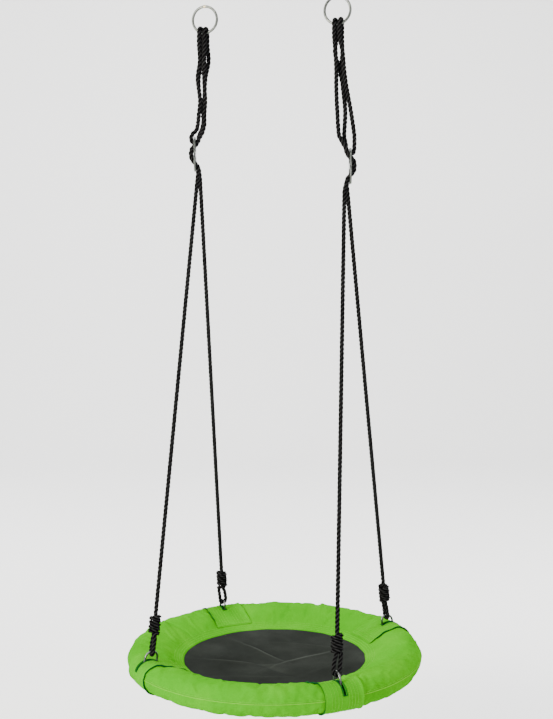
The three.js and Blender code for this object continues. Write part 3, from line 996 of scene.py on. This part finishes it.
def plate_hole(low, top):
    w = HOLE_HALF_W - HOLE_CORNER
    low, top = low + HOLE_CORNER, top - HOLE_CORNER
    corners = ((w, low, -90, 0), (w, top, 0, 90), (-w, top, 90, 180), (-w, low, 180, 270))
    return [point for x, z, start, end in corners for point in round_corner(x, z, HOLE_CORNER, start, end)]


def add_plate(side, sx):
    """A stamped plate with two holes and rounded edges."""
    bevel = 0.0007
    merge = 1e-5
    data = bpy.data.curves.new("plate_outline", "CURVE")
    data.dimensions = "2D"
    data.fill_mode = "BOTH"
    data.extrude = PLATE_T / 2 - bevel
    data.bevel_depth = bevel
    data.bevel_resolution = 3
    data.offset = -bevel
    for outline in (plate_outline(), plate_hole(HOLE_LOW, HOLE_TOP), plate_hole(-HOLE_TOP, -HOLE_LOW)):
        spline = data.splines.new("POLY")
        kept = [p for p, q in zip(outline, outline[1:] + outline[:1]) if math.dist(p, q) > merge]
        spline.points.add(len(kept) - 1)
        for point, (x, y) in zip(spline.points, kept):
            point.co = (x, y, 0, 1)
        spline.use_cyclic_u = True
    curve = bpy.data.objects.new("plate_outline", data)
    bpy.context.scene.collection.objects.link(curve)
    mesh = evaluated_mesh(curve)
    bpy.data.objects.remove(curve)
    clean(mesh, merge)
    upright = Matrix.Rotation(math.pi / 2, 4, "X")
    turned = Matrix.Rotation(math.pi / 2 + PLATE_TURN, 4, "Z")
    mesh.transform(Matrix.Translation((sx * PLATE_X, 0, PLATE_Z[side])) @ turned @ upright)
    mesh.materials.clear()
    mesh.materials.append(STEEL)
    mesh.polygons.foreach_set("use_smooth", [False] * len(mesh.polygons))
    plate = bpy.data.objects.new(f"steel_plate_{side}", mesh)
    bpy.context.scene.collection.objects.link(plate)
    fit_in(plate, "steel", f"{side}_adjuster", f"adjuster_plate_{side}")


# ---- padded cover ----
PAD_AROUND = 400
PAD_START_INSET = 0.0025
PAD_CAP = 0.008
PAD_FRAMES = 20
SKIRT_STEPS = 14
UPPER_STEPS = 18
LOWER_STEPS = 17
FOLD_COUNT = 46
HEM_WAVE = 0.0028
SLOT_HALF_W = 0.0045
SLOT_HEIGHTS = (0.006, 0.060)
MERGE = 1e-6


def skirt_angle(hem_z, sign):
    """Angle on the padded tube where a straight skirt from the hem touches it."""
    run = TUBE_RING_R - HEM_R
    reach = math.hypot(run, hem_z)
    return sign * (math.pi / 2 + math.asin(COVER_R / reach)) - math.atan2(hem_z, run)


def pad_profile():
    """(radius, height above the tube's centre, part) round the padded ring's section from the hem."""
    top_touch, low_touch = skirt_angle(HEM_TOP, 1), skirt_angle(HEM_LOW, -1)
    size = COVER_R - PAD_START_INSET

    def on_tube(angle):
        return TUBE_RING_R + size * math.cos(angle), size * math.sin(angle)

    def skirt(share, hem_z, touch):
        r, z = on_tube(touch)
        return HEM_R + (r - HEM_R) * share, hem_z + (z - hem_z) * share

    points = []
    for i in range(SKIRT_STEPS):
        points.append((*skirt(i / SKIRT_STEPS, HEM_TOP, top_touch), "top"))
    for i in range(UPPER_STEPS):
        points.append((*on_tube(top_touch + (SEAM_ANGLE - top_touch) * i / UPPER_STEPS), "crest"))
    for i in range(LOWER_STEPS):
        angle = SEAM_ANGLE + (low_touch - SEAM_ANGLE) * i / LOWER_STEPS
        points.append((*on_tube(angle), "seam" if i == 0 else "under"))
    for i in range(SKIRT_STEPS + 1):
        points.append((*skirt(1 - i / SKIRT_STEPS, HEM_LOW, low_touch), "low"))
    return points


def corner_share(angle):
    """1 under a reinforcement band, falling to 0 beside it."""
    nearest = min(abs(math.remainder(angle - math.pi / 4 * k, 2 * math.pi)) for k in (1, 3, 5, 7))
    edge = BAND_W / 2 / TUBE_RING_R
    return max(0.0, min(1.0, (edge * 1.15 - nearest) / (edge * 0.3)))


def start_pad():
    """The padded ring before it is filled, with its sewn lines pinned."""
    profile = pad_profile()
    rows = len(profile)
    verts, pins = [], []
    for i in range(PAD_AROUND):
        angle = 2 * math.pi * i / PAD_AROUND
        for r, z, part in profile:
            ripple = 0.0011 * noise.noise(Vector((r * 40, z * 40, i * 0.35)))
            ripple += 0.0016 * noise.noise(Vector((r * 12, z * 9, i * 0.11)))
            near_hem = max(0.0, 1 - (r - HEM_R) / 0.028)
            pin = max(near_hem, 1.0 if part == "seam" else 0.0, 0.55 * corner_share(angle))
            place = Vector((math.cos(angle) * 5, math.sin(angle) * 5, 2))
            wave = HEM_WAVE * near_hem * noise.noise(place)
            size = r + ripple * (1 - pin) + wave
            verts.append(Vector((size * math.cos(angle), size * math.sin(angle),
                                 SEAT_Z + z + ripple * (1 - pin))))
            pins.append(min(1.0, pin))
    faces = []
    for i in range(PAD_AROUND):
        faces += strip(i * rows, ((i + 1) % PAD_AROUND) * rows, rows)
    pad = mesh_object("padded_cover", verts, faces, COVER_CLOTH)
    group = pad.vertex_groups.new(name="sewn")
    for index, pin in enumerate(pins):
        if pin > 0:
            group.add([index], pin, "REPLACE")
    return pad


def make_folds():
    """Soft folds of the cover: ring angle, slant, half width, height, and where on the section."""
    chance = random.Random(11)
    folds = []
    for k in range(FOLD_COUNT):
        from_hem = k % 3 > 0
        folds.append((
            2 * math.pi * (k + chance.uniform(-0.4, 0.4)) / FOLD_COUNT,
            chance.uniform(-0.09, 0.09),
            chance.uniform(0.003, 0.006),
            chance.uniform(0.0018, 0.0036) * chance.choice((1, 1, -1)),
            math.radians(chance.uniform(95, 150) if from_hem else chance.uniform(20, 50)),
            math.radians(chance.uniform(24, 44) if from_hem else chance.uniform(14, 20)),
        ))
    return folds


def add_folds(pad):
    """Raises and lowers the cloth along the folds, more softly where a band holds it down."""
    folds = make_folds()
    for vert in pad.data.vertices:
        angle = math.atan2(vert.co.y, vert.co.x)
        out = vert.co.xy.length - TUBE_RING_R
        height = vert.co.z - SEAT_Z
        section = math.atan2(height, out)
        if abs(section) > math.pi - 0.12:
            continue
        lift = 0.0
        for at, slant, width, rise, where, spread in folds:
            along = (section - where) / spread
            across = math.remainder(angle - at - slant * along, 2 * math.pi) * TUBE_RING_R / width
            if abs(along) < 3 and abs(across) < 5:
                ridge = 1 / (1 + across * across) - 0.5 / (1 + (across - 1.8) ** 2)
                lift += rise * math.exp(-along * along) * ridge
        away = Vector((math.cos(angle) * out, math.sin(angle) * out, height)).normalized()
        hem_share = min(1.0, max(0.0, (vert.co.xy.length - HEM_R) / 0.02))
        vert.co += away * lift * hem_share * (1 - 0.7 * corner_share(angle))


def fill_pad(pad):
    """Cloth simulation: the cut cloth is a little larger than the filling and puckers at its seams."""
    start = [v.co.copy() for v in pad.data.vertices]
    cloth = pad.modifiers.new("cloth", "CLOTH")
    settings = cloth.settings
    settings.quality = 6
    settings.mass = 0.25
    settings.tension_stiffness = 18
    settings.compression_stiffness = 18
    settings.shear_stiffness = 6
    settings.bending_stiffness = 0.35
    settings.use_pressure = True
    settings.uniform_pressure_force = 4
    settings.shrink_min = -0.024
    settings.vertex_group_mass = "sewn"
    settings.effector_weights.gravity = 0
    cloth.point_cache.frame_start = 1
    cloth.point_cache.frame_end = PAD_FRAMES
    scene = bpy.context.scene
    for number in range(1, PAD_FRAMES + 1):
        scene.frame_set(number)
    depsgraph = bpy.context.evaluated_depsgraph_get()
    shaped = [v.co.copy() for v in pad.evaluated_get(depsgraph).data.vertices]
    pad.modifiers.remove(cloth)
    scene.frame_set(1)
    for vert, before, after in zip(pad.data.vertices, start, shaped):
        move = after - before
        if move.length > PAD_CAP:
            move *= PAD_CAP / move.length
        vert.co = before + move


def clear_foam(pad):
    """Where the cloth would dip into the foam sleeve, it lies on it instead."""
    least = FOAM_R + 0.0009
    for vert in pad.data.vertices:
        flat = Vector((vert.co.x, vert.co.y, 0))
        if flat.length < TUBE_RING_R - least:
            continue
        centre = flat.normalized() * TUBE_RING_R + Vector((0, 0, SEAT_Z))
        away = vert.co - centre
        if away.length < least:
            vert.co = centre + away.normalized() * least


def apply_modifiers(obj):
    mesh = evaluated_mesh(obj)
    obj.modifiers.clear()
    obj.data = mesh


def slot_cutter(sx, sy):
    out = Vector((sx, sy, 0)).normalized()
    along = Vector((-out.y, out.x, 0))
    corners = []
    for r in (TUBE_RING_R - SLOT_IN, TUBE_RING_R + SLOT_OUT):
        for t in (-SLOT_HALF_W, SLOT_HALF_W):
            for z in SLOT_HEIGHTS:
                corners.append(out * r + along * t + Vector((0, 0, SEAT_Z + z)))
    faces = [(0, 1, 3, 2), (4, 6, 7, 5), (0, 4, 5, 1), (2, 3, 7, 6), (0, 2, 6, 4), (1, 5, 7, 3)]
    # The cutter's dark green passes to the cut slot walls: painted shade inside the slots.
    cutter = mesh_object("slot_cutter", corners, faces, EDGE_SHADE_CLOTH)
    clean(cutter.data, MERGE)
    return cutter


def add_pad():
    pad = start_pad()
    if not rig.quick():
        fill_pad(pad)
    pad.vertex_groups.clear()
    smoother = pad.modifiers.new("subdivision", "SUBSURF")
    smoother.levels = smoother.render_levels = 1
    apply_modifiers(pad)
    add_folds(pad)
    clear_foam(pad)
    surface = BVHTree.FromPolygons([v.co.copy() for v in pad.data.vertices],
                                   [tuple(p.vertices) for p in pad.data.polygons])
    # The slot walls cut below take the dark green: painted shade inside the slots.
    pad.data.materials.append(EDGE_SHADE_CLOTH)
    for _, sx, sy in CORNERS:
        cutter = slot_cutter(sx, sy)
        cut = pad.modifiers.new("slot", "BOOLEAN")
        cut.operation = "DIFFERENCE"
        cut.object = cutter
        cut.solver = "EXACT"
        cut.material_mode = "TRANSFER"
        apply_modifiers(pad)
        bpy.data.objects.remove(cutter)
    pad.data.polygons.foreach_set("use_smooth", [True] * len(pad.data.polygons))
    fit_in(pad, "cover", "seat", "cover_top", "cover_bottom")
    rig.padded(pad, fill=0.8)
    return surface


# ---- sewing on the cover ----
BAND_SKIRT_STEPS = 16
BAND_TUBE_STEPS = 34
# Lengthwise seams of a band, by their distance from its middle.
BAND_SEAMS = (0.009, 0.0165, 0.024, 0.0315, 0.0425)
BAND_SEAM_LIFT = 0.0029
SLOT_RIM_LIFT = 0.0026
SLOT_RIM_R = 0.0011
# Points across half a band, as shares of its half width: closer at its edge and at the slot.
BAND_COLUMNS = (1, 0.985, 0.95, 0.9, 0.84, 0.76, 0.68, 0.6, 0.5, 0.4, 0.3, 0.2, 0.13, 0.076)


def section_point(angle, share_angle=None, skirt_r=None):
    """A point of the ideal cover and its outward direction, on the tube or on the top skirt."""
    out = Vector((math.cos(angle), math.sin(angle), 0))
    up = Vector((0, 0, 1))
    if skirt_r is None:
        direction = out * math.cos(share_angle) + up * math.sin(share_angle)
        return out * TUBE_RING_R + up * SEAT_Z + direction * COVER_R, direction
    touch = skirt_angle(HEM_TOP, 1)
    direction = out * math.cos(touch) + up * math.sin(touch)
    touch_r = TUBE_RING_R + COVER_R * math.cos(touch)
    slope = (COVER_R * math.sin(touch) - HEM_TOP) / (touch_r - HEM_R)
    z = HEM_TOP + slope * (skirt_r - HEM_R)
    return out * skirt_r + up * (SEAT_Z + z), direction


def beside(angle, across, row):
    """The ring angle of a point that lies a distance across from a radial line, at a station."""
    point, _ = section_point(angle, **row)
    return angle + math.asin(across / math.hypot(point.x, point.y))


def on_surface(surface, point, direction, lift):
    hit, _, _, _ = surface.ray_cast(point + direction * 0.03, -direction, 0.06)
    return (hit if hit is not None else point) + direction * lift


def laid(surface, middle, across, row, lift):
    """A point on the cover, a distance across from a band's middle line, at a station."""
    return on_surface(surface, *section_point(beside(middle, across, row), **row), lift)


def band_rows():
    """The band's lengthwise stations, from its inner end to its end under the ring."""
    touch = skirt_angle(HEM_TOP, 1)
    touch_r = TUBE_RING_R + COVER_R * math.cos(touch)
    rows = []
    for i in range(BAND_SKIRT_STEPS):
        rows.append({"skirt_r": BAND_INNER_R + (touch_r - BAND_INNER_R) * i / BAND_SKIRT_STEPS})
    for i in range(BAND_TUBE_STEPS + 1):
        rows.append({"share_angle": touch + (BAND_END_ANGLE - touch) * i / BAND_TUBE_STEPS})
    return rows


def row_gap(row):
    """Distance from the band's inner end, along the skirt; far along for stations on the tube."""
    return row["skirt_r"] - BAND_INNER_R if "skirt_r" in row else 1.0


def row_reach(row):
    """How far out from the tube's centre circle a station lies, and whether it is on top."""
    if "skirt_r" in row:
        return row["skirt_r"] - TUBE_RING_R, True
    return COVER_R * math.cos(row["share_angle"]), row["share_angle"] > 0.2


def add_band(surface, corner, sx, sy):
    middle = math.atan2(sy, sx)
    half = BAND_W / 2
    across = [-share * half for share in BAND_COLUMNS]
    across += [-s for s in reversed(across)]
    rows = band_rows()
    top, low, columns = [], [], len(across)
    for row in rows:
        for s in across:
            point, direction = section_point(beside(middle, s, row), **row)
            edge = max(0.0, 1 - (half - abs(s)) / 0.007)
            rise = min(1.0, 0.15 + row_gap(row) / 0.03)
            lift = 0.0012 + (0.0012 + 0.0022 * edge) * rise + 0.0004 * noise.noise(point * 60)
            place = on_surface(surface, point, direction, lift)
            top.append(place)
            low.append(place - direction * (0.0010 + 0.0022 * edge * rise))
    for _ in range(2):
        top = relax(top, len(rows), columns)
        low = relax(low, len(rows), columns)
    verts = top + low
    faces, materials = [], []
    open_cells = set()
    for i in range(len(rows) - 1):
        reach, on_top = row_reach(rows[i])
        in_slot = on_top and -SLOT_IN < reach < SLOT_OUT
        for k in range(columns - 1):
            if in_slot and across[k] < 0 < across[k + 1]:
                open_cells.add((i, k))
    under = len(top)
    for i in range(len(rows) - 1):
        for k in range(columns - 1):
            if (i, k) in open_cells:
                continue
            a, b = i * columns + k, i * columns + k + 1
            c, d = b + columns, a + columns
            faces.append((a, d, c, b))
            faces.append((a + under, b + under, c + under, d + under))
            materials += [0, 0]
            for (ni, nk), (p, q) in (((i - 1, k), (a, b)), ((i, k + 1), (b, c)),
                                     ((i + 1, k), (c, d)), ((i, k - 1), (d, a))):
                outside = not (0 <= ni < len(rows) - 1 and 0 <= nk < columns - 1)
                if outside or (ni, nk) in open_cells:
                    faces.append((p, q, q + under, p + under))
                    # The band's long sides and slot sides take the dark green, a painted shade; its ends keep the band
                    # cloth.
                    materials.append(0 if ni < 0 or ni == len(rows) - 1 else 1)
    band = mesh_object(f"sewn_band_{corner}", verts, faces, BAND_CLOTH)
    band.data.materials.append(EDGE_SHADE_CLOTH)
    band.data.polygons.foreach_set("material_index", materials)
    clean(band.data, MERGE)
    fit_in(band, "cover", "seat", f"cover_band_{corner}")
    seams = []
    for s in [sign * reach for sign in (-1, 1) for reach in BAND_SEAMS]:
        seams.append([laid(surface, middle, s, row, BAND_SEAM_LIFT) for row in rows[1:-1]])
    for row in (rows[1], rows[4]):
        places = [half * (k / 12 - 1) for k in range(1, 24)]
        seams.append([laid(surface, middle, s, row, BAND_SEAM_LIFT) for s in places])
    add_stitches(f"band_stitches_{corner}", seams)
    # The slot's rim is dark green: painted shade round the slot.
    verts, faces = tube(slot_rim(surface, middle, rows), SLOT_RIM_R, 8, closed=True)
    edge = mesh_object(f"slot_rim_{corner}", verts, faces, EDGE_SHADE_CLOTH)
    fit_in(edge, "cover", "seat")


def relax(points, rows, columns):
    """Evens a grid of points without moving its border."""
    result = list(points)
    for i in range(1, rows - 1):
        for k in range(1, columns - 1):
            at = i * columns + k
            around = points[at - 1] + points[at + 1] + points[at - columns] + points[at + columns]
            result[at] = points[at] * 0.5 + around * 0.125
    return result


def slot_rim(surface, middle, rows):
    """The closed line round a band's slot."""
    chosen = []
    for row in rows:
        reach, on_top = row_reach(row)
        if on_top and -SLOT_IN < reach < SLOT_OUT + 0.002:
            chosen.append(row)
    sides = []
    for s in (-SLOT_HALF_W, SLOT_HALF_W):
        sides.append([laid(surface, middle, s, row, SLOT_RIM_LIFT) for row in chosen])
    return sides[0] + list(reversed(sides[1]))


def add_stitches(name, seams, pitch=0.0042, thread_r=0.00032):
    """Short threads laid end to end along each seam, dipping into the cloth between them."""
    verts, faces = [], []
    for seam in seams:
        points = even_steps(seam, pitch)
        for a, b in zip(points, points[1:]):
            along = (b - a).normalized()
            side = along.orthogonal().normalized()
            lift = along.cross(side)
            base = len(verts)
            for share, size in ((0.04, 0.35), (0.25, 1.0), (0.75, 1.0), (0.96, 0.35)):
                centre = a.lerp(b, share)
                for k in range(6):
                    angle = math.pi * k / 3
                    out = side * math.cos(angle) + lift * math.sin(angle)
                    verts.append(centre + out * thread_r * size)
            for here in (base, base + 6, base + 12):
                faces += strip(here, here + 6, 6)
            faces.append(tuple(base + k for k in reversed(range(6))))
            faces.append(tuple(base + 18 + k for k in range(6)))
    stitches = mesh_object(name, verts, faces, THREAD)
    fit_in(stitches, "cover", "seat")


def ring_seam(surface, lift, steps=360, **row):
    points = []
    for i in range(steps + 1):
        point, direction = section_point(2 * math.pi * i / steps, **row)
        points.append(on_surface(surface, point, direction, lift))
    return points


def add_seams(surface):
    hem_rows = [ring_seam(surface, 0.0003, skirt_r=HEM_R + gap) for gap in (0.005, 0.011, 0.017, 0.023)]
    add_stitches("hem_stitches", hem_rows)
    piping = ring_seam(surface, 0.0004, share_angle=SEAM_ANGLE)[:-1]
    verts, faces = tube(piping, 0.0010, 8, closed=True)
    welt = mesh_object("outer_welt", verts, faces, PIPING_CLOTH)
    fit_in(welt, "cover", "seat")
    add_stitches("outer_stitches", [ring_seam(surface, 0.0002, share_angle=SEAM_ANGLE + 0.12)])


# ---- mat ----
MAT_R = 0.2175
MAT_Z = SEAT_Z - 0.0086
MAT_SAG = 0.006
MAT_T = 0.0012
# How high a crease must be for its painted highlight line to start to show, and how much higher to show it all.
CREASE_HIGHLIGHT_FROM = 0.0026
CREASE_HIGHLIGHT_RANGE = 0.0024
# Soft creases in the mat: (x, y) of a point on the line, its direction in degrees, height, width.
MAT_CREASES = (
    (0.07, 0.03, 59, 0.0050, 0.0075),
    (-0.05, 0.04, -28, 0.0042, 0.0075),
    (-0.08, -0.05, 12, 0.0036, 0.008),
    (0.03, -0.07, -20, -0.0040, 0.010),
    (0.01, -0.13, 24, 0.0030, 0.008),
    (-0.12, 0.03, 78, -0.0030, 0.011),
    (0.05, 0.12, 8, 0.0030, 0.008),
    (0.13, -0.03, 70, 0.0028, 0.008),
)


def crease_share(x, y, crease):
    """How much a point of the mat belongs to a crease, and how far it lies across the crease."""
    cx, cy, degrees, _, width = crease
    angle = math.radians(degrees)
    along = (x - cx) * math.cos(angle) + (y - cy) * math.sin(angle)
    across = (y - cy) * math.cos(angle) - (x - cx) * math.sin(angle) + 0.008 * math.sin(along * 18)
    return math.exp(-((along / 0.085) ** 2)), across / width


def mat_height(x, y):
    distance = math.hypot(x, y) / MAT_R
    inside = max(0.0, 1 - distance ** 2)
    z = -MAT_SAG * inside
    for crease in MAT_CREASES:
        share, across = crease_share(x, y, crease)
        z += inside * crease[3] * share * math.exp(-across * across)
    pull = math.sin(math.atan2(y, x) * 29) * 0.0005 * distance ** 6 * inside ** 0.5
    return z + pull + 0.0009 * inside * noise.noise(Vector((x * 22, y * 22, 3)))


def add_mat():
    rings, spokes = 72, 240
    places = []
    for i in range(1, rings + 1):
        r = MAT_R * i / rings
        for k in range(spokes):
            angle = 2 * math.pi * k / spokes
            places.append((r * math.cos(angle), r * math.sin(angle)))
    centre = len(places)
    places.append((0, 0))
    verts = []
    for drop in (0, MAT_T):
        verts += [Vector((x, y, MAT_Z + mat_height(x, y) - drop)) for x, y in places]
    faces = []
    for k in range(spokes):
        after = (k + 1) % spokes
        faces.append((centre, k, after))
        for i in range(rings - 1):
            a, b = i * spokes + k, i * spokes + after
            faces.append((a, a + spokes, b + spokes, b))
    layer_size = len(places)
    faces += [tuple(index + layer_size for index in reversed(face)) for face in faces]
    edge = (rings - 1) * spokes
    for k in range(spokes):
        after = (k + 1) % spokes
        faces.append((edge + k, edge + k + layer_size, edge + after + layer_size, edge + after))
    cloth = mesh_object("mat_cloth_sheet", verts, faces, MAT_CLOTH)
    # Painted highlight along the top of each raised crease, stronger the higher the crease stands.
    worn = cloth.data.color_attributes.new("worn", "FLOAT_COLOR", "POINT")
    for vert, entry in zip(verts, worn.data):
        level = 0.0
        for crease in MAT_CREASES:
            share, across = crease_share(vert.x, vert.y, crease)
            height = (crease[3] - CREASE_HIGHLIGHT_FROM) / CREASE_HIGHLIGHT_RANGE
            level = max(level, share * math.exp(-7 * across * across) * height)
        entry.color = (level, level, level, 1)
    fit_in(cloth, "mat", "seat", "mat")
    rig.sheet(cloth, flat=(2 * MAT_R, 2 * MAT_R), held="stretched", rests_on=["padded_cover"],
             area=math.pi * MAT_R ** 2)


# ---- parts kept from the CAD model, inside the cover ----
def dress_hidden_parts():
    looks = {"frame_tube": FRAME_PAINT, "frame_spigot": FRAME_PAINT, "foam_sleeve": FOAM}
    for name, obj in frame["nodes"].items():
        for start, material in looks.items():
            if name.startswith(start):
                obj.data.materials.clear()
                obj.data.materials.append(material)


# ---- studio ----
FLOOR_Z = SEAT_Z - 0.42


def add_backdrop():
    """A pale floor that curves up into a wall behind."""
    front, back, bend, height, half_width = -9.0, 5.0, 2.0, 12.0, 14.0
    profile = [(front, 0.0)]
    profile += arc(lambda y, z: (back + y, bend + z), bend, -math.pi / 2, 0, 16)
    profile.append((back + bend, height))
    verts, faces = [], []
    for x in (-half_width, half_width):
        for y, z in profile:
            verts.append(Vector((x, y, FLOOR_Z + z)))
    count = len(profile)
    for i in range(count - 1):
        faces.append((i, count + i, count + i + 1, i + 1))
    shader = Shader("backdrop", 0.95)
    place = shader.coordinates()
    tone = shader.noise(place, 0.6, 2.0)
    shader.colour(shader.ramp(tone, ((0.3, (0.93, 0.93, 0.93)), (0.7, (0.95, 0.95, 0.95)))))
    backdrop = mesh_object("backdrop", verts, faces, shader.material)
    backdrop.rotation_euler = (0, 0, CAMERA_AZIMUTH)
    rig.stage(backdrop)


def add_area_light(name, place, target, size, power, colour=(1, 1, 1)):
    data = bpy.data.lights.new(name, "AREA")
    data.shape = "DISK"
    data.size = size
    data.energy = power
    data.color = colour
    light = bpy.data.objects.new(name, data)
    bpy.context.scene.collection.objects.link(light)
    turn = (Vector(target) - Vector(place)).to_track_quat("-Z", "Y").to_matrix().to_4x4()
    light.matrix_world = Matrix.Translation(place) @ turn


def add_lights():
    world = bpy.data.worlds.new("studio")
    world.use_nodes = True
    background = world.node_tree.nodes["Background"]
    background.inputs["Color"].default_value = (1, 1, 1, 1)
    background.inputs["Strength"].default_value = 1.15
    bpy.context.scene.world = world
    middle = (0, 0, -1.2)
    add_area_light("key", (-1.4, -2.9, -0.2), middle, 1.1, 240, (1.0, 0.95, 0.82))
    add_area_light("fill", (2.6, -1.6, 0.0), middle, 2.0, 30)
    add_area_light("top", (0.2, 0.6, 2.4), middle, 2.2, 85)
    add_area_light("backdrop_left", (-3.5, 1.0, 1.5), (-1.5, 6.0, -0.8), 2.5, 260)
    add_area_light("backdrop_right", (2.0, 1.6, 1.5), (-1.5, 6.0, -0.8), 2.5, 260)


# ---- everything in order ----
add_camera()
add_ropes()
for side_name, side_sign in SIDES:
    add_top_ring(side_name, side_sign)
    add_plate(side_name, side_sign)
for corner_name, corner_x, corner_y in CORNERS:
    add_link(corner_name, corner_x, corner_y)
pad_surface = add_pad()
for corner_name, corner_x, corner_y in CORNERS:
    add_band(pad_surface, corner_name, corner_x, corner_y)
add_seams(pad_surface)
add_mat()
dress_hidden_parts()
add_backdrop()
add_lights()

VISUAL_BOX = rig.bounds()
with open("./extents.json", "w") as size_file:
    json.dump({"cad": [list(v) for v in CAD_BOX], "visual": [list(v) for v in VISUAL_BOX]}, size_file)
